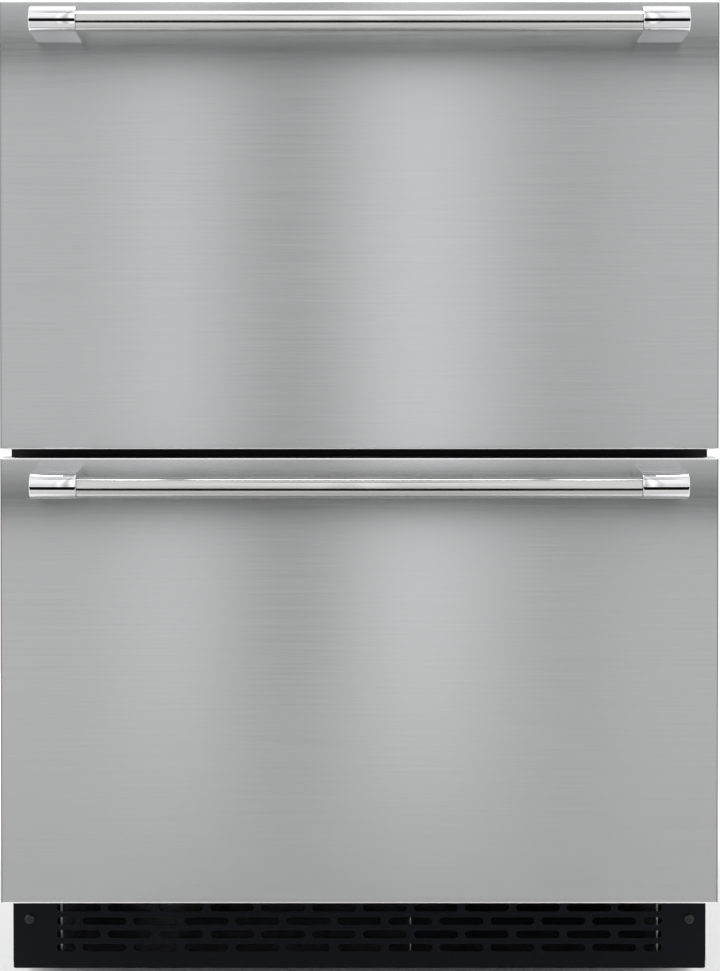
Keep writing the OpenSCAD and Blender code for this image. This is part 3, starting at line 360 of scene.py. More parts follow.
@dataclass
class Shell:
    """Points and faces of one piece, gathered from grids, caps and other meshes."""

    points: list[np.ndarray] = field(default_factory=list)
    faces: list[list[int]] = field(default_factory=list)
    count: int = 0

    def grid(self, rows: Grid, ring: bool = True, loop: bool = False, caps: bool = False) -> "Shell":
        """Adds a grid of points.

        Args:
            rows: points of shape (n, m, 3).
            ring: joins the last column to the first.
            loop: joins the last row to the first.
            caps: closes the first and the last row with one flat face each.

        Returns:
            This shell.
        """
        n, m, _ = rows.shape
        index = self.count + np.arange(n * m).reshape(n, m)
        if ring:
            index = np.concatenate([index, index[:, :1]], 1)
        if loop:
            index = np.concatenate([index, index[:1]], 0)
        quads = np.stack([index[:-1, :-1], index[:-1, 1:], index[1:, 1:], index[1:, :-1]], -1)
        self.faces += quads.reshape(-1, 4).tolist()
        if caps:
            self.faces += [index[0, :m][::-1].tolist(), index[-1, :m].tolist()]
        self.points.append(rows.reshape(-1, 3))
        self.count += n * m
        return self

    def rim(self, centre: Sequence[float], axes: tuple[np.ndarray, np.ndarray, np.ndarray],
            half: tuple[float, float], corner: float, profile: np.ndarray, loop: bool = False,
            steps: int = 8) -> "Shell":
        """Carries a profile of (inset, height) round a rounded rectangle.

        Args:
            centre: middle of the rectangle.
            axes: directions of its width, its height and the profile's height.
            half: half its width and half its height.
            corner: radius of its corners.
            profile: points of (inset, height).
            loop: the profile is closed; an open one is closed with caps.
            steps: pieces of each corner.

        Returns:
            This shell.
        """
        flat = corner_loops(half[0], half[1], corner, profile[:, 0], steps)
        rows = (np.asarray(centre) + flat[..., :1] * axes[0] + flat[..., 1:] * axes[1]
                + profile[:, 1][:, None, None] * axes[2])
        return self.grid(rows, loop=loop, caps=not loop)

    def turned(self, centre: Sequence[float], axis: np.ndarray, profile: np.ndarray,
               steps: int = 48) -> "Shell":
        """Turns a profile of (radius, height) about an axis, with its ends closed.

        Args:
            centre: where the axis starts.
            axis: direction of the axis, of length 1.
            profile: points of (radius, height).
            steps: pieces of each arc or circle.

        Returns:
            This shell.
        """
        side = np.cross(axis, X if abs(axis[0]) < 0.9 else Y)
        side /= np.linalg.norm(side)
        across = np.cross(axis, side)
        angle = np.arange(steps) * 2 * math.pi / steps
        circle = np.cos(angle)[:, None] * side + np.sin(angle)[:, None] * across
        rows = (np.asarray(centre) + profile[:, :1, None] * circle[None]
                + profile[:, 1][:, None, None] * axis)
        return self.grid(rows, caps=True)

    def tube(self, path: np.ndarray, radius: float, steps: int = 16) -> "Shell":
        """Carries a circle along a path.

        At each point the circle stands square to the mean of the two legs, and its first radius is the
        last one's, less what of it lies along the path.

        Args:
            path: points of the centre line.
            radius: radius of the tube.
            steps: sides of the tube.

        Returns:
            This shell, with both ends closed.
        """
        along = np.gradient(path, axis=0)
        along /= np.linalg.norm(along, axis=1)[:, None]
        side = np.cross(along[0], X if abs(along[0][0]) < 0.9 else Y)
        sides = []
        for direction in along:
            side = side - (side @ direction) * direction
            side = side / np.linalg.norm(side)
            sides.append(side)
        one = np.array(sides)
        two = np.cross(along, one)
        angle = np.arange(steps) * 2 * math.pi / steps
        rows = (path[:, None] + radius * (np.cos(angle)[None, :, None] * one[:, None]
                                          + np.sin(angle)[None, :, None] * two[:, None]))
        return self.grid(rows, caps=True)

    def add(self, mesh: bpy.types.Mesh) -> "Shell":
        """Adds the points and faces of another mesh.

        Args:
            mesh: the mesh.

        Returns:
            This shell.
        """
        at = np.zeros(len(mesh.vertices) * 3)
        mesh.vertices.foreach_get("co", at)
        self.faces += [[self.count + v for v in face.vertices] for face in mesh.polygons]
        self.points.append(at.reshape(-1, 3))
        self.count += len(mesh.vertices)
        return self

    def piece(self, name: str, smooth: float = 32.0) -> Object:
        """Makes the object: doubles merged, faces outward, edges sharper than the angle kept crisp.

        Args:
            name: name of the piece.
            smooth: angle in degrees up to which faces shade smoothly.

        Returns:
            The object, at the origin.
        """
        mesh = bpy.data.meshes.new(name)
        mesh.from_pydata(np.concatenate(self.points), [], self.faces)
        work = bmesh.new()
        work.from_mesh(mesh)
        bmesh.ops.remove_doubles(work, verts=work.verts, dist=SEAL)
        bmesh.ops.recalc_face_normals(work, faces=work.faces)
        work.to_mesh(mesh)
        work.free()
        return as_piece(mesh, name, smooth)


def as_piece(mesh: bpy.types.Mesh, name: str, smooth: float | None = None) -> Object:
    """Links a mesh as an object, shaded smooth below the angle where one is given.

    Args:
        mesh: the mesh.
        name: name of the piece.
        smooth: angle in degrees up to which faces shade smoothly.

    Returns:
        The object, at the origin.
    """
    if smooth:
        mesh.polygons.foreach_set("use_smooth", [True] * len(mesh.polygons))
        mesh.set_sharp_from_angle(angle=math.radians(smooth))
    made = bpy.data.objects.new(name, mesh)
    bpy.context.scene.collection.objects.link(made)
    return made


def eased(node: str, width: float, steps: int = 2) -> bpy.types.Mesh:
    """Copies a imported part's mesh with its sharp edges eased.

    The loose triangles are merged, flat neighbours are joined, and a bevel rounds each edge that turns
    more than forty degrees.

    Args:
        node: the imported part.
        width: width of the bevel.
        steps: segments of the bevel.

    Returns:
        The new mesh.
    """
    work = bmesh.new()
    work.from_mesh(frame["nodes"][node].data)
    for layer in list(work.loops.layers.uv):
        work.loops.layers.uv.remove(layer)
    bmesh.ops.remove_doubles(work, verts=work.verts, dist=SEAL)
    bmesh.ops.dissolve_limit(work, angle_limit=math.radians(0.5), verts=work.verts, edges=work.edges)
    mesh = bpy.data.meshes.new(node + "_eased")
    work.to_mesh(mesh)
    work.free()
    if "custom_normal" in mesh.attributes:
        mesh.attributes.remove(mesh.attributes["custom_normal"])
    mesh.polygons.foreach_set("use_smooth", [True] * len(mesh.polygons))
    mesh.set_sharp_from_angle(angle=math.radians(32))
    holder = bpy.data.objects.new(node + "_eased", mesh)
    bpy.context.scene.collection.objects.link(holder)
    bevel = holder.modifiers.new("edge", "BEVEL")
    bevel.width, bevel.segments, bevel.limit_method = width, steps, "ANGLE"
    bevel.angle_limit, bevel.harden_normals = math.radians(40), True
    view = bpy.context.evaluated_depsgraph_get()
    made = bpy.data.meshes.new_from_object(holder.evaluated_get(view))
    bpy.data.objects.remove(holder)
    bpy.data.meshes.remove(mesh)
    return made


def stands_for(piece: Object, *nodes: str) -> Object:
    """Hands a piece over: it rides with its first node's body, takes that slot, and replaces the nodes.

    Args:
        piece: the new piece.
        nodes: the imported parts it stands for.

    Returns:
        The piece.
    """
    slot = SLOT_OF[nodes[0]]
    piece.data.materials.clear()
    piece.data.materials.append(MATERIALS[slot])
    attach(piece, BODY_OF[nodes[0]])
    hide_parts(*nodes)
    LOG.info("%s stands for %s", piece.name, ", ".join(nodes))
    return piece


def ease_parts(nodes: Iterable[str], width: float) -> None:
    """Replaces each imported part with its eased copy."""
    for node in nodes:
        stands_for(as_piece(eased(node, width), node + "_finished"), node)


def dress_parts(nodes: Iterable[str]) -> None:
    """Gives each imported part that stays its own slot's material.

    Args:
        nodes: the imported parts.
    """
    for node in nodes:
        part = frame["nodes"][node]
        part.data.materials.clear()
        part.data.materials.append(MATERIALS[SLOT_OF[node]])
        LOG.info("%s keeps its own mesh", node)


def span(node: str) -> tuple[np.ndarray, np.ndarray]:
    """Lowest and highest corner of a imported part."""
    low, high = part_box(node)
    return np.array(low), np.array(high)


# ------------------------------------------------------------------ drawers

@dataclass
class DrawerFront:
    """One drawer front: folded stainless skin, moulded inner panel and magnetic gasket."""

    level: str
    sheet: float = 1.0 * MM
    bevel: float = 1.2 * MM
    corner: float = 1.4 * MM
    panel_corner: float = 7.0 * MM
    panel_wall: float = 2.0 * MM
    field_depth: float = 1.6 * MM

    def build(self) -> None:
        """Builds the front's three pieces."""
        self.skin()
        self.inner_panel()
        self.gasket()
        dress_parts([f"{self.level}_front_core"])

    def skin(self) -> Object:
        """Folded sheet: the profile runs from the face over a bevelled edge, back, round the raw edge and in.

        Returns:
            The folded skin.
        """
        node = f"{self.level}_front_skin"
        low, high = span(node)
        depth, b, t = high[1] - low[1], self.bevel, self.sheet
        profile = filleted([(b + 3 * MM, 0), (0, 0), (0, depth), (t, depth), (t, t), (b + 3 * MM, t)],
                           [b, 0.2 * MM, 0.2 * MM, 0.5 * MM], 6)
        middle = (low + high) / 2
        half = ((high[0] - low[0]) / 2, (high[2] - low[2]) / 2)
        shell = Shell().rim((middle[0], low[1], middle[2]), (X, Z, Y), half, self.corner, profile, steps=5)
        piece = stands_for(shell.piece(node + "_folded", 25.0), node)
        self.paint_fold_light(piece)
        return piece

    def paint_fold_light(self, piece: Object) -> None:
        """Paints light and shade into the bends' colour: a near-white painted highlight where they lie flat, a dark
        painted shade where they stand.

        A face belongs to a bend when its normal leans between the front and an edge; the lower bend of
        both fronts and the upper one of the lower front get the painted highlight.

        Args:
            piece: the folded skin.
        """
        mesh = piece.data
        normal = np.zeros(len(mesh.polygons) * 3)
        mesh.polygons.foreach_get("normal", normal)
        normal = normal.reshape(-1, 3)
        # Flat bends take the painted highlight; the standing side bends take the painted shade
        bend = (normal[:, 1] < -0.12) & (normal[:, 1] > -0.995)
        level = bend & (np.abs(normal[:, 2]) > 0.09) & (np.abs(normal[:, 0]) < 0.3)
        if self.level == "upper":
            level &= normal[:, 2] < 0
        shaded_side_bend = bend & (np.abs(normal[:, 0]) > 0.09) & (np.abs(normal[:, 2]) < 0.3)
        mesh.materials.append(FOLD_PAINTED_HIGHLIGHT.material(piece.name + "_painted_highlight"))
        mesh.materials.append(FOLD_PAINTED_SHADE.material(piece.name + "_painted_shade"))
        mesh.polygons.foreach_set("material_index", (level * 1 + shaded_side_bend * 2).astype(np.int32))

    def inner_panel(self) -> Object:
        """Moulded pan: a flange under the skin, rounded sides, and a back with a shallow sunk field.

        Returns:
            The moulded panel.
        """
        node = f"{self.level}_inner_panel"
        low, high = span(node)
        depth, t = high[1] - low[1], self.panel_wall
        side = 3 * MM
        field_in = side + 26 * MM
        sunk, end = self.field_depth, field_in + 30 * MM
        outer = [(0, 0), (0, t), (side, t), (side, depth), (field_in, depth), (field_in + 4 * MM, depth - sunk),
                 (end, depth - sunk)]
        inner = [(end, depth - t - sunk), (side + t, depth - t - sunk), (side + t, 0), (0, 0)]
        outside = filleted(outer, [0.4 * MM, 0.6 * MM, 3.0 * MM, 2.0 * MM, 2.0 * MM], 4)
        profile = np.concatenate([outside, filleted(inner, [1.5 * MM, 0.0], 3)[:-1]])
        middle = (low + high) / 2
        half = ((high[0] - low[0]) / 2, (high[2] - low[2]) / 2)
        shell = Shell()
        flat = corner_loops(*half, self.panel_corner, profile[:, 0], 8)
        rows = (np.array([middle[0], low[1], middle[2]]) + flat[..., :1] * X + flat[..., 1:] * Z
                + profile[:, 1][:, None, None] * Y)
        cut = len(outside)
        shell.grid(rows[:cut]).grid(np.concatenate([rows[cut:], rows[:1]]))
        m = rows.shape[1]
        shell.faces += [list(range((cut - 1) * m, cut * m)), list(range(cut * m, cut * m + m))]
        return stands_for(shell.piece(node + "_moulded"), node)

    def gasket(self) -> Object:
        """Door seal: a barbed foot, a bellows of two folds and a flat magnet bulb, carried round the front.

        Returns:
            The seal.
        """
        node = f"{self.level}_gasket"
        low, high = span(node)
        depth, width = high[1] - low[1], 12 * MM
        f = depth / 7.5
        profile = filleted_ring([
            (0, 0), (width, 0), (width, 1.6 * f), (width - 1.6 * MM, 2.4 * f), (width - 1.0 * MM, 3.6 * f),
            (width - 2.2 * MM, 4.4 * f), (width - 2.2 * MM, depth), (2.2 * MM, depth), (2.2 * MM, 4.4 * f),
            (1.0 * MM, 3.6 * f), (1.6 * MM, 2.4 * f), (0, 1.6 * f)], 0.6 * MM, 3)
        middle = (low + high) / 2
        half = ((high[0] - low[0]) / 2, (high[2] - low[2]) / 2)
        shell = Shell().rim((middle[0], low[1], middle[2]), (X, Z, Y), half, 9 * MM, profile, loop=True)
        return stands_for(shell.piece(node + "_bellows", 50.0), node)


@dataclass
class Handle:
    """One bar handle: a tube between two polished posts."""

    level: str
    tube_edge: float = 0.35 * MM
    post_edge: float = 1.1 * MM
    nose_radius: float = 11.0 * MM
    foot_below: float = 14.75 * MM
    foot_above: float = 12.55 * MM
    arc_steps: int = 40

    def build(self) -> None:
        """Builds the tube and the posts."""
        self.tube()
        self.posts()

    def tube(self) -> Object:
        """Turned tube with eased ends.

        Returns:
            The tube.
        """
        node = f"{self.level}_handle_tube"
        low, high = span(node)
        radius, length, e = (high[2] - low[2]) / 2, high[0] - low[0], self.tube_edge
        profile = np.array([(0, 0), (radius - e, 0), (radius - e * 0.3, e * 0.3), (radius, e), (radius, length - e),
                            (radius - e * 0.3, length - e * 0.3), (radius - e, length), (0, length)])
        middle = (low + high) / 2
        shell = Shell().turned((low[0], middle[1], middle[2]), X, profile, 96)
        return stands_for(shell.piece(node + "_turned", 25.0), node)

    def outline(self, nose: np.ndarray, foot: np.ndarray, radius: float, inset: float) -> np.ndarray:
        """Cross-section of a post in Y and Z.

        It is the round nose and the two straight flanks that touch it and end on the drawer's face; an
        inset shrinks the nose's radius and draws both ends of the foot together.

        Args:
            nose: centre of the nose.
            foot: Y of the face, and lower and upper Z of the foot.
            radius: radius of the nose.
            inset: distance that the outline is drawn in.

        Returns:
            The outline's points, from the upper end of the foot round the nose to the lower one.
        """
        r = radius - inset
        top, low = np.array([foot[0], foot[2] - inset]), np.array([foot[0], foot[1] + inset])
        reach_top, reach_low = top - nose, low - nose
        open_top = math.acos(r / np.linalg.norm(reach_top))
        open_low = math.acos(r / np.linalg.norm(reach_low))
        start = math.atan2(reach_top[1], reach_top[0]) + open_top
        end = 2 * math.pi + math.atan2(reach_low[1], reach_low[0]) - open_low
        angle = np.linspace(start, end, self.arc_steps + 1)
        nose_line = nose + r * np.stack([np.cos(angle), np.sin(angle)], -1)
        flank = np.linspace(0, 1, 9)[:-1, None]
        return np.concatenate([top + (nose_line[0] - top) * flank, nose_line,
                               (nose_line[-1] + (low - nose_line[-1]) * flank)[1:], low[None]])

    def posts(self) -> Object:
        """Posts: the cross-section is carried along X and drawn in by a quarter round at both ends.

        Returns:
            Both posts, as one piece.
        """
        node = f"{self.level}_handle_posts"
        low, high = span(node)
        tube_low, tube_high = span(f"{self.level}_handle_tube")
        r, e = self.nose_radius, self.post_edge
        nose = np.array([low[1] + r, (tube_low[2] + tube_high[2]) / 2 + NOSE_RISE])
        foot = np.array([high[1], nose[1] - self.foot_below, nose[1] + self.foot_above])
        turn = np.linspace(0, math.pi / 2, 6)
        inset = e * (1 - np.sin(turn))
        along = e * (1 - np.cos(turn))
        width = high[0] - tube_high[0]
        place = np.concatenate([along, width - along[::-1]])
        insets = np.concatenate([inset, inset[::-1]])
        shell = Shell()
        for side in (-1, 1):
            start = tube_high[0] if side > 0 else low[0]
            flat = np.stack([self.outline(nose, foot, r, float(i)) for i in insets])
            across = np.broadcast_to((start + place)[:, None, None], (*flat.shape[:2], 1))
            rows = np.concatenate([across, flat], -1)
            shell.grid(rows, caps=True)
        return stands_for(shell.piece(node + "_polished", 28.0), node)


@dataclass
class DrawerBox:
    """One drawer box: pressed from sheet, with rounded corners, a rolled rim and a raised floor panel."""

    level: str
    sheet: float = 1.5 * MM
    corner: float = 16.0 * MM
    rim_out: float = 6.0 * MM

    def build(self) -> Object:
        """Carries one closed profile of the wall, the rim and the floor round the box.

        Returns:
            The box.
        """
        node = f"{self.level}_drawer_box"
        low, high = span(node)
        height, rim, t = high[2] - low[2], self.rim_out, self.sheet
        back = high[1] - rim
        outside = filleted([(rim + 60 * MM, 2.6 * MM), (rim + 22 * MM, 2.6 * MM), (rim + 16 * MM, 0), (rim, 0),
                            (rim, height - t - 1.2 * MM), (1.2 * MM, height - t - 1.2 * MM),
                            (0.2 * MM, height - t), (0, height)],
                           [3 * MM, 3 * MM, 6 * MM, 1.5 * MM, 0.6 * MM, 0.4 * MM], 5)
        inside = filleted([(0, height), (rim + t, height), (rim + t, t), (rim + 16 * MM, t),
                           (rim + 22 * MM, 2.6 * MM + t), (rim + 60 * MM, 2.6 * MM + t)],
                          [1.6 * MM, 4.5 * MM, 3 * MM, 3 * MM], 5)
        profile = np.concatenate([outside, inside[1:]])
        half = ((high[0] - low[0]) / 2, (back + rim - (low[1] - rim)) / 2)
        flat = corner_loops(half[0], half[1], self.corner, profile[:, 0], 10)
        centre = np.array([(low[0] + high[0]) / 2, (back + rim + low[1] - rim) / 2, low[2]])
        rows = centre + flat[..., :1] * X + flat[..., 1:] * Y + profile[:, 1][:, None, None] * Z
        rows[..., 1] = np.maximum(rows[..., 1], low[1])
        shell = Shell().grid(rows, caps=True)
        return stands_for(shell.piece(node + "_pressed", 35.0), node)


@dataclass
class Slides:
    """The nested slide members of both drawers and their balls."""

    edge: float = 0.35 * MM

    def build(self) -> None:
        """Eases the rolled edges of each member and dresses the balls."""
        ease_parts(["slide_outer_members"] + [f"{level}_slide_{member}" for level in ("upper", "lower")
                                              for member in ("middle", "inner")], self.edge)
        dress_parts(["upper_slide_balls", "lower_slide_balls"])


# ------------------------------------------------------------------ cabinet

@dataclass
class Cabinet:
    """The insulated shell: wrapper, frame, beam, liner, rear sheets and their screws."""

    sheet_edge: float = 0.3 * MM
    liner_radius: float = 9.0 * MM
    liner_wall: float = 1.5 * MM
    louvre: tuple[float, float] = (70 * MM, 5 * MM)
    louvre_lift: float = 3.4 * MM
    louvre_rows: int = 9
    louvre_first: float = 44 * MM
    louvre_pitch: float = 17 * MM
    louvre_columns: tuple[float, ...] = (-196 * MM, -100 * MM, 0.0, 100 * MM)

    def build(self) -> None:
        """Builds the cabinet's pieces."""
        ease_parts(["outer_wrapper", "underside_panel", "rear_panel", "air_baffle"], self.sheet_edge)
        ease_parts(["front_frame", "mullion"], 0.8 * MM)
        ease_parts(["panel_screws"], 0.2 * MM)
        self.liner()
        self.machine_cover()
        dress_parts(["insulation_foam"])

    def liner(self) -> Object:
        """Moulded lining: the stepped outline in Y and Z, its corners rounded, is carried along X.

        Near each side wall the outline draws in by a quarter round, and the wall itself closes it. The
        sheet's thickness is added outward at the end.

        Returns:
            The lining.
        """
        low, high = span("inner_liner")
        _, step = span("lower_drawer_box")
        shelf_low, _ = span("evaporator_cover")
        t, r = self.liner_wall, self.liner_radius
        front, back = low[1], high[1] - t
        floor, ceiling = low[2] + t, high[2] - t
        shelf, inner = shelf_low[2] - 6 * MM, step[1] + 16 * MM
        turn = np.linspace(0, math.pi / 2, 7)
        drawn, run = r * (1 - np.sin(turn)), r * (1 - np.cos(turn))
        inset = np.concatenate([drawn, drawn[::-1]])
        along = np.concatenate([run, (high[0] - low[0] - 2 * t) - run[::-1]])
        rows = []
        for distance, i in zip(along, inset):
            corners = [(front, floor + i), (inner - i, floor + i), (inner - i, shelf + i), (back - i, shelf + i),
                       (back - i, ceiling - i), (front, ceiling - i)]
            line = filleted(corners, max(r - i, 1.5 * MM), 6)
            rows.append(np.concatenate([np.full((len(line), 1), low[0] + t + distance), line], 1))
        shell = Shell().grid(np.array(rows), ring=False, caps=True)
        piece = shell.piece("inner_liner_moulded", 40.0)
        piece.data.flip_normals()
        wall = piece.modifiers.new("wall", "SOLIDIFY")
        wall.thickness, wall.offset = t, -1.0
        view = bpy.context.evaluated_depsgraph_get()
        piece.data = bpy.data.meshes.new_from_object(piece.evaluated_get(view))
        piece.modifiers.clear()
        return stands_for(piece, "inner_liner")

    def machine_cover(self) -> Object:
        """Cover with pressed louvres.

        Each hood is half of a flat dome over a slot: its height above the sheet follows the sine of the
        way across and a rounded square law along it.

        Returns:
            The cover.
        """
        node = "machine_cover"
        low, high = span(node)
        shell = Shell().add(eased(node, 0.25 * MM))
        length, gap = self.louvre
        u = np.linspace(-1, 1, 25)
        v = np.linspace(0, 1, 9)
        swell = (1 - np.abs(u) ** 4) ** 0.5
        for row in range(self.louvre_rows):
            z = low[2] + self.louvre_first + row * self.louvre_pitch
            for x in self.louvre_columns:
                across = np.sin(v * math.pi / 2)[:, None] * swell[None] * self.louvre_lift
                height = (1 - v)[:, None] * swell[None] * (gap + 4.5 * MM)
                outer = np.stack([np.broadcast_to(x + u * (length / 2 + 1.5 * MM), across.shape),
                                  high[1] + across, z - gap / 2 + height], -1)
                inner = outer - np.array([0, 0.7 * MM, 0.5 * MM])
                shell.grid(np.concatenate([outer, inner[::-1]]), ring=False, loop=True)
        return stands_for(shell.piece(node + "_louvred", 21.0), node)


@dataclass
class Base:
    """Toe grille, galvanised base, and the four levelling feet."""

    thread_pitch: float = 1.5 * MM
    thread_depth: float = 0.55 * MM

    def build(self) -> None:
        """Builds the base's pieces."""
        ease_parts(["toe_grille"], 0.25 * MM)
        ease_parts(["base_tray", "base_side_rails"], 0.3 * MM)
        for place in ("front_left", "front_right", "rear_left", "rear_right"):
            self.foot(f"foot_{place}")

    def foot(self, node: str) -> Object:
        """Levelling foot: a turned pad, a hexagon and a threaded stem.

        The stem's radius follows a triangle wave round a helix.

        Args:
            node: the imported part.

        Returns:
            The foot.
        """
        low, high = span(node)
        x, y = (low[0] + high[0]) / 2, (low[1] + high[1]) / 2
        pad = (high[0] - low[0]) / 2
        shell = Shell().turned((x, y, low[2]), Z, filleted(
            [(0, 0), (pad - 1 * MM, 0), (pad, 1.2 * MM), (pad, 4.2 * MM), (pad - 4 * MM, 7 * MM), (0, 7 * MM)],
            [0.6 * MM, 0.8 * MM, 1.5 * MM, 0.8 * MM], 3), 64)
        hexagon = np.array([(0, 6.5 * MM), (9.2 * MM, 6.5 * MM), (10 * MM, 7.4 * MM), (10 * MM, 21.4 * MM),
                            (9.2 * MM, 22.3 * MM), (0, 22.3 * MM)])
        shell.turned((x, y, low[2]), Z, hexagon, 6)
        angle = np.arange(24) * 2 * math.pi / 24
        height = np.linspace(21.5 * MM, high[2] - low[2], 170)
        wave = (height[:, None] / self.thread_pitch - angle[None] / (2 * math.pi)) % 1.0
        tip = np.clip((high[2] - low[2] - height) / (1.5 * MM), 0.0, 1.0)[:, None]
        radius = 5 * MM - self.thread_depth * np.abs(2 * wave - 1) * tip - 0.8 * MM * (1 - tip)
        rows = np.stack([x + radius * np.cos(angle), y + radius * np.sin(angle),
                         np.broadcast_to(low[2] + height[:, None], radius.shape)], -1)
        shell.grid(rows, caps=True)
        return stands_for(shell.piece(node + "_threaded", 30.0), node)


# ------------------------------------------------------------------ cooling

@dataclass
class Fan:
    """One fan: its frame with the motor, and a wheel with five curved blades."""

    name: str
    axis: np.ndarray
    blades: int = 5
    twist: tuple[float, float] = (38.0, 20.0)

    def build(self) -> None:
        """Eases the frame and builds the wheel."""
        ease_parts([f"{self.name}_frame"], 0.6 * MM)
        self.wheel()

    def wheel(self) -> Object:
        """Wheel: a hub with a rounded cap, and blades whose pitch falls from root to tip.

        A blade's point at share s of its chord and radius r lies at the pitch angle's cosine round the
        axis and its sine along it, with a camber of a sine across the chord.

        Returns:
            The wheel.
        """
        node = f"{self.name}_blade"
        low, high = span(node)
        centre = (low + high) / 2
        a = self.axis
        size = high - low
        depth = float(np.abs(size @ a))
        tip = float(np.max(size - np.abs(a) * size)) / 2
        side = np.cross(a, Z)
        side /= np.linalg.norm(side)
        up = np.cross(side, a)
        hub = 17 * MM
        hub_h = 10 * MM
        base = centre - a * hub_h / 2
        bore = 2.05 * MM
        profile = filleted([(bore, 0), (hub, 0), (hub, hub_h), (bore, hub_h)], [0.6 * MM, 2.5 * MM], 4)
        rings = np.concatenate([profile, profile[:1]])
        shell = Shell()
        angle = np.arange(48) * 2 * math.pi / 48
        circle = np.cos(angle)[:, None] * side + np.sin(angle)[:, None] * up
        shell.grid(base + rings[:, :1, None] * circle[None] + rings[:, 1][:, None, None] * a)
        r = np.linspace(hub - 1.5 * MM, tip * 0.985, 14)[:, None]
        s = np.linspace(-0.5, 0.5, 13)[None]
        share = (r - r.min()) / (r.max() - r.min())
        pitch = np.radians(self.twist[0] + (self.twist[1] - self.twist[0]) * share)
        chord = depth / np.sin(np.radians(self.twist[0])) * (0.80 + 0.25 * share)
        chord = np.minimum(chord, depth * 0.92 / np.sin(pitch))
        camber = 0.07 * chord * np.cos(s * math.pi)
        for i in range(self.blades):
            sheets = []
            for face in (-0.5, 0.5):
                lift = camber + face * 1.3 * MM * np.sqrt(np.maximum(1 - (2 * s) ** 4, 0.02))
                first = i * 2 * math.pi / self.blades
                round_ = (s * chord * np.cos(pitch) - lift * np.sin(pitch)) / r + first
                along = s * chord * np.sin(pitch) + lift * np.cos(pitch)
                along = np.clip(along, -depth / 2, depth / 2)
                spoke = np.cos(round_)[..., None] * side + np.sin(round_)[..., None] * up
                sheets.append(centre + r[..., None] * spoke + along[..., None] * a)
            shell.grid(np.concatenate([sheets[0], sheets[1][:, ::-1]], 1), caps=True)
        return stands_for(shell.piece(node + "_curved", 40.0), node)


@dataclass
class Cooling:
    """Compressor, coils, pipes, fans and drainage."""

    pipe_bend: float = 9.0 * MM
    line_radius: float = 3 * MM
    capillary_radius: float = 1.5 * MM

    def build(self) -> None:
        """Builds the cooling pieces."""
        ease_parts(["compressor"], 1.2 * MM)
        ease_parts(["compressor_relay_box", "drip_pan"], 1.0 * MM)
        ease_parts(["compressor_grommets", "filter_drier"], 0.8 * MM)
        ease_parts(["evaporator_cover"], 0.6 * MM)
        dress_parts(["condenser_coil", "evaporator_coil", "drain_tube"])
        self.pipes()
        Fan("condenser_fan", X).build()
        Fan("evaporator_fan", -Y).build()

    def pipes(self) -> Object:
        """Copper lines with drawn bends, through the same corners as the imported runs.

        Returns:
            The pipes.
        """
        shell_low, shell_high = span("compressor")
        coil_low, coil_high = span("condenser_coil")
        evap_low, evap_high = span("evaporator_coil")
        drier_low, drier_high = span("filter_drier")
        drain_low, drain_high = span("drain_tube")
        _, cover_high = span("machine_cover")
        plate = shell_low[2] + 3 * MM
        tall = 150 * MM
        mid_y = (shell_low[1] + shell_high[1]) / 2
        high_z, low_z = plate + 0.62 * tall, plate + 0.4 * tall
        middle_x = shell_high[0] - 76 * MM
        stub = middle_x - 62 * MM * 1.1
        over = cover_high[2] + 0.2 * MM - 32 * MM
        row = (coil_high[2] - coil_low[2]) / 10
        coil_x = (coil_low[0] + coil_high[0]) / 2 + 11 * MM + 4.5 * MM
        lead = (coil_high[1] - coil_low[1]) / 2 - 4 * MM
        drier = (drier_low[0] + drier_high[0]) / 2
        service = (drain_low[1] + drain_high[1]) / 2
        evap_x = evap_high[0]
        riser = evap_high[0] + 5 * MM
        evap_step = (evap_high[2] - evap_low[2]) / 10
        lines = [
            ([(stub, mid_y, high_z), (stub - 30 * MM, mid_y, high_z),
              (stub - 30 * MM, mid_y, coil_high[2] - row), (stub - 30 * MM, mid_y + lead, coil_high[2] - row),
              (coil_x, mid_y + lead, coil_high[2] - row)], self.line_radius),
            ([(coil_x, mid_y - lead, coil_low[2] + row), (drier, mid_y - lead, coil_low[2] + row),
              (drier, mid_y - lead, drier_low[2] + 1 * MM)], self.line_radius),
            ([(drier, mid_y - lead, drier_high[2] - 1 * MM), (drier, mid_y - lead, over + 12 * MM),
              (riser - 3 * MM, mid_y - lead, over + 12 * MM), (riser - 3 * MM, service, over + 12 * MM),
              (riser - 3 * MM, service, evap_low[2] + evap_step), (evap_x, service, evap_low[2] + evap_step)],
             self.capillary_radius),
            ([(stub, mid_y, low_z), (stub - 14 * MM, mid_y, low_z), (stub - 14 * MM, mid_y - 30 * MM, low_z),
              (stub - 14 * MM, mid_y - 30 * MM, over), (stub - 14 * MM, service, over),
              (riser + 2.4 * MM, service, over), (riser + 2.4 * MM, service, evap_high[2] - evap_step),
              (evap_x, service, evap_high[2] - evap_step)], self.line_radius),
        ]
        shell = Shell()
        for points, radius in lines:
            shell.tube(filleted(points, self.pipe_bend, 8), radius)
        return stands_for(shell.piece("refrigerant_pipes_bent", 50.0), "refrigerant_pipes")


# ------------------------------------------------------------------ electrics

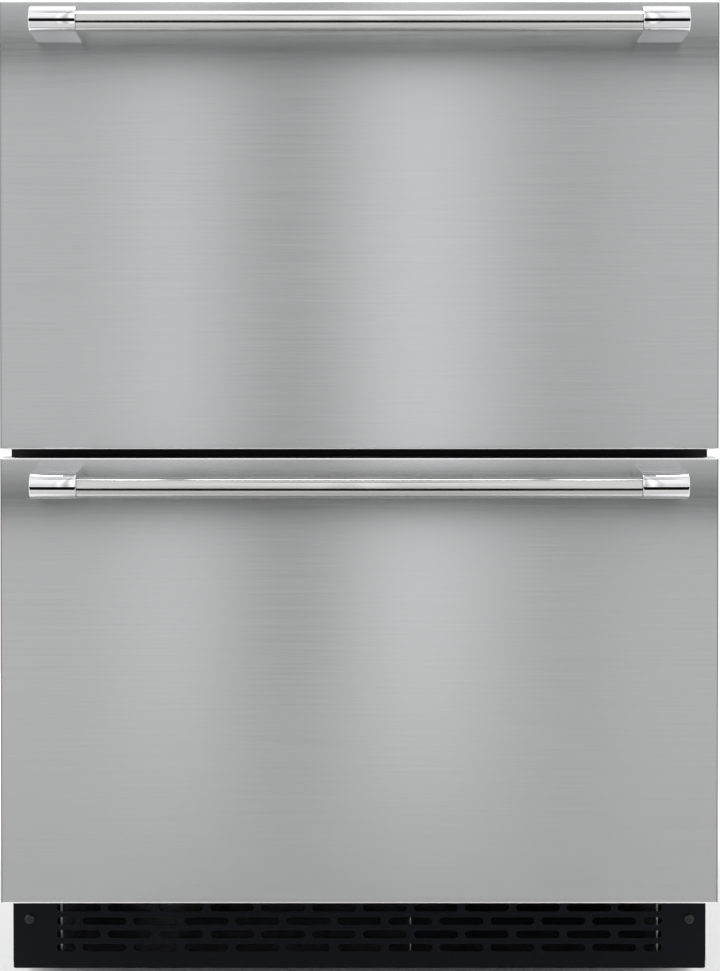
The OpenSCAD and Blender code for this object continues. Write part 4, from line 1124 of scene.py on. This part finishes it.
@dataclass
class Controls:
    """Control housing with its display and buttons, the light strip and the power inlet."""

    setting: str = "38"
    segments: dict[str, str] = field(default_factory=lambda: {"3": "abgcd", "8": "abcdefg"})

    def build(self) -> None:
        """Builds the electric pieces."""
        ease_parts(["control_housing", "power_inlet"], 0.5 * MM)
        ease_parts(["led_light"], 0.8 * MM)
        self.display()
        for name in ("power", "colder", "warmer", "light"):
            self.button(f"button_{name}")

    def button(self, node: str) -> Object:
        """Push button: a turned cap with a dished face, and the flange that keeps it in.

        Args:
            node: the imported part.

        Returns:
            The button.
        """
        low, high = span(node)
        depth = high[1] - low[1]
        flange = (high[0] - low[0]) / 2
        r = flange - 1.5 * MM
        profile = filleted([(0, 0.35 * MM), (r * 0.55, 0.25 * MM), (r - 0.7 * MM, 0), (r, 0.6 * MM),
                            (r, depth - 1.8 * MM), (flange, depth - 1.8 * MM), (flange, depth - 0.3 * MM),
                            (0, depth - 0.3 * MM)],
                           [2 * MM, 0.4 * MM, 0.4 * MM, 0.3 * MM, 0.3 * MM, 0.3 * MM], 3)
        profile[-1, 1] = depth
        shell = Shell().turned(((low[0] + high[0]) / 2, low[1], (low[2] + high[2]) / 2), Y, profile, 40)
        return stands_for(shell.piece(node + "_cap"), node)

    def display(self) -> Object:
        """Display: a rounded window, and two seven-segment digits that glow on it.

        Returns:
            The window; the digits are a piece of their own.
        """
        node = "control_display"
        low, high = span(node)
        middle, depth = (low + high) / 2, high[1] - low[1]
        profile = filleted([(4 * MM, 0.15 * MM), (0.5 * MM, 0.15 * MM), (0, 0.5 * MM), (0, depth), (4 * MM, depth)],
                           [0.2 * MM, 0.2 * MM, 0], 3)
        half = ((high[0] - low[0]) / 2, (high[2] - low[2]) / 2)
        pane = Shell().rim((middle[0], low[1], middle[2]), (X, Z, Y), half, 1.2 * MM, profile)
        window = pane.piece(node + "_window")
        stands_for(window, node)
        bars = Shell()
        wide, tall, bar = 3.0 * MM, 4.2 * MM, 0.9 * MM
        spots = {"a": (0, 2, 1), "g": (0, 0, 1), "d": (0, -2, 1), "b": (1, 1, 0), "c": (1, -1, 0), "f": (-1, 1, 0),
                 "e": (-1, -1, 0)}
        for i, digit in enumerate(self.setting):
            x = middle[0] + (i - 0.5) * 10 * MM
            for key in self.segments[digit]:
                u, v, flat = spots[key]
                half = (wide - 0.5 * MM, bar / 2) if flat else (bar / 2, tall / 2 - 0.3 * MM)
                place = (x + u * wide, low[1] + 0.16 * MM, middle[2] + v * tall / 2)
                raised = np.array([(0.1 * MM, -0.08 * MM), (0, 0), (0, 0.1 * MM)])
                bars.rim(place, (X, Z, Y), half, 0.4 * MM, raised, steps=3)
        digits = bars.piece("control_display_digits")
        digits.data.materials.append(DIGIT_GLOW.material("display_digits"))
        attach(digits, "cabinet")
        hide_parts(node)
        return window


# ------------------------------------------------------------------ studio

@dataclass
class Studio:
    """Pale floor, soft light and the camera."""

    distance: float = 2.0
    eye: float = 0.6199
    lens: float = 88.47
    tilt: float = math.radians(0.8)
    shift: tuple[float, float] = (0.0006, -0.1774)
    floor_radius: float = 1.4
    floor_back: float = 0.2
    flag_gap: float = 0.05
    flag_half: float = 0.45
    card_centre: tuple[float, float, float] = (0.0, -0.84, 0.02)
    card_half: tuple[float, float] = (0.9, 0.42)
    even: float = 1.08
    fade: tuple[float, float] = (0.50, 5.0)
    rise: tuple[tuple[float, float], ...] = (
        (0.0, 0.80), (0.30, 0.97), (0.46, 1.02), (0.53, 0.90), (0.60, 0.95), (0.72, 1.20), (0.89, 1.25), (0.935, 0.35),
        (0.97, 1.10), (1.0, 1.15))
    sweep: tuple[tuple[float, float], ...] = (
        (0.0, 0.95), (0.20, 0.98), (0.27, 0.92), (0.342, 1.24), (0.443, 0.64), (0.544, 1.34), (0.678, 0.76),
        (0.745, 0.96), (0.85, 0.96), (1.0, 0.95))

    def build(self) -> None:
        """Builds the floor, the sky, the lights and the camera."""
        self.floor()
        self.flag("upper", 8.0 * MM, 26 * MM)
        self.flag("lower", 22.0 * MM, 28 * MM)
        self.floor_card()
        self.sky()
        self.softbox("overhead", (0.0, 0.3, 3.0), (0.0, 0.2, 0.3), (2.4, 1.1), 50.0)
        self.softbox("left_fill", (-3.0, -2.2, 1.9), (0.0, 0.0, 0.4), (1.2, 2.0), 10.0)
        self.camera()

    def floor(self) -> Object:
        """Pale round floor, so pale that its edge is lost in the surround.

        Returns:
            The floor.
        """
        radius = np.array([0.02, 0.7, 1.0]) * self.floor_radius
        angle = np.arange(96) * 2 * math.pi / 96
        rows = np.stack([radius[:, None] * np.cos(angle), self.floor_back + radius[:, None] * np.sin(angle),
                         np.zeros((len(radius), 96))], -1)
        shell = Shell().grid(rows)
        shell.faces.append(list(range(96)))
        piece = shell.piece("studio_floor", 60.0)
        if piece.data.polygons[0].normal.z < 0:
            piece.data.flip_normals()
        piece.data.materials.append(FLOOR_PAINT.material("studio_floor"))
        return piece

    def flag(self, level: str, drop: float, height: float) -> Object:
        """Black rod in front of a handle, which only mirrors see.

        Args:
            level: the drawer whose handle it serves.
            drop: how far its middle lies below the nose's middle.
            height: its height.

        Returns:
            The rod.
        """
        low, _ = span(f"{level}_handle_posts")
        tube_low, tube_high = span(f"{level}_handle_tube")
        middle = (tube_low[2] + tube_high[2]) / 2 + NOSE_RISE - drop
        length = 2 * self.flag_half
        profile = np.array([(0, 0), (height / 2, 0), (height / 2, length), (0, length)])
        shell = Shell().turned((-self.flag_half, low[1] - self.flag_gap, middle), X, profile, 24)
        piece = shell.piece(f"{level}_flag")
        piece.data.materials.append(FLAG_CLOTH.material("flag"))
        piece.visible_camera = piece.visible_diffuse = piece.visible_shadow = False
        return piece

    def floor_card(self) -> Object:
        """Grey card on the floor in front, which only mirrors see.

        Returns:
            The card.
        """
        profile = np.array([(0.1, 0.0), (0.0, 0.0), (0.0, 0.002), (0.1, 0.002)])
        piece = Shell().rim(self.card_centre, (X, Y, Z), self.card_half, 0.05, profile).piece("floor_card")
        piece.data.materials.append(CARD_GREY.material("card"))
        piece.visible_camera = piece.visible_diffuse = piece.visible_shadow = False
        return piece

    def sky(self) -> None:
        """Soft surround: even and pale all round, with banded panels of light in front of the drawers.

        The panels' brightness is a ramp over the height of a direction, times a ramp over its bearing,
        and it fades into the even surround about thirty degrees to each side.
        """
        world = bpy.data.worlds.new("studio")
        bpy.context.scene.world = world
        world.use_nodes = True
        tree = world.node_tree
        back = tree.nodes["Background"]
        back.inputs["Color"].default_value = (1.0, 1.0, 1.0, 1.0)

        def ramp(value: bpy.types.NodeSocket, stops: Sequence[tuple[float, float]]) -> bpy.types.NodeSocket:
            """Adds a ramp of greys over a value from 0 to 1, halved to leave room above white.

            Args:
                value: the value, from 0 to 1.
                stops: pairs of place and level.

            Returns:
                The ramp's level.
            """
            node = tree.nodes.new("ShaderNodeValToRGB")
            node.color_ramp.interpolation = "EASE"
            points = node.color_ramp.elements
            while len(points) < len(stops):
                points.new(0.5)
            for point, (at, level) in zip(points, stops):
                point.position = at
                point.color = (level / 2, level / 2, level / 2, 1.0)
            tree.links.new(value, node.inputs["Fac"])
            return math_node(tree, "MULTIPLY", node.outputs["Color"], 2.0)

        where = tree.nodes.new("ShaderNodeTexCoord")
        split = tree.nodes.new("ShaderNodeSeparateXYZ")
        tree.links.new(where.outputs["Generated"], split.inputs["Vector"])
        x, y, z = (split.outputs[axis] for axis in "XYZ")
        bearing = math_node(tree, "ARCTAN2", x, math_node(tree, "MULTIPLY", y, -1.0))
        height = math_node(tree, "MULTIPLY_ADD", z, 0.5, 0.5)
        rise = ramp(height, self.rise)
        sweep = ramp(math_node(tree, "MULTIPLY_ADD", bearing, 2.0, 0.5), self.sweep)
        edge, slope = self.fade
        near = math_node(tree, "SUBTRACT", edge, math_node(tree, "ABSOLUTE", bearing))
        near = math_node(tree, "MULTIPLY", near, slope)
        near = math_node(tree, "MINIMUM", math_node(tree, "MAXIMUM", near, 0.0), 1.0)
        panels = math_node(tree, "MULTIPLY", rise, sweep)
        over = math_node(tree, "SUBTRACT", panels, self.even)
        light = math_node(tree, "MULTIPLY_ADD", over, near, self.even)
        tree.links.new(light, back.inputs["Strength"])

    def softbox(self, name: str, at: tuple[float, float, float], target: tuple[float, float, float],
                size: tuple[float, float], power: float) -> Object:
        """Adds an area light aimed at a point.

        Args:
            name: name of the light.
            at: its place.
            target: the point it faces.
            size: its width and height.
            power: its power in watts.

        Returns:
            The light.
        """
        lamp = bpy.data.lights.new(name, "AREA")
        lamp.shape, lamp.size, lamp.size_y, lamp.energy = "RECTANGLE", size[0], size[1], power
        made = bpy.data.objects.new(name, lamp)
        bpy.context.scene.collection.objects.link(made)
        made.location = at
        aim = np.array(target) - np.array(at)
        made.rotation_mode = "QUATERNION"
        made.rotation_quaternion = Vector(aim).to_track_quat("-Z", "Y")
        made.visible_camera = False
        return made

    def camera(self) -> Object:
        """Camera straight in front, tilted down a touch, with the picture shifted down to the object.

        Returns:
            The camera.
        """
        face = span("upper_front_skin")[0][1]
        data = bpy.data.cameras.new("camera")
        data.lens, data.sensor_width = self.lens, 36.0
        data.shift_x, data.shift_y = self.shift
        data.clip_start, data.clip_end = 0.05, 60.0
        made = bpy.data.objects.new("camera", data)
        bpy.context.scene.collection.objects.link(made)
        made.location = (0.0, face - self.distance, self.eye)
        made.rotation_euler = (math.pi / 2 - self.tilt, 0.0, 0.0)
        bpy.context.scene.camera = made
        bpy.context.scene.view_settings.view_transform = "Standard"
        return made


def main() -> None:
    """Builds every sub-assembly in order."""
    logging.basicConfig(level=logging.INFO, format="%(message)s")
    Studio().build()
    for level in ("upper", "lower"):
        DrawerFront(level).build()
        Handle(level).build()
        DrawerBox(level).build()
    Slides().build()
    Cabinet().build()
    Base().build()
    Cooling().build()
    Controls().build()


if __name__ == "__main__":
    main()
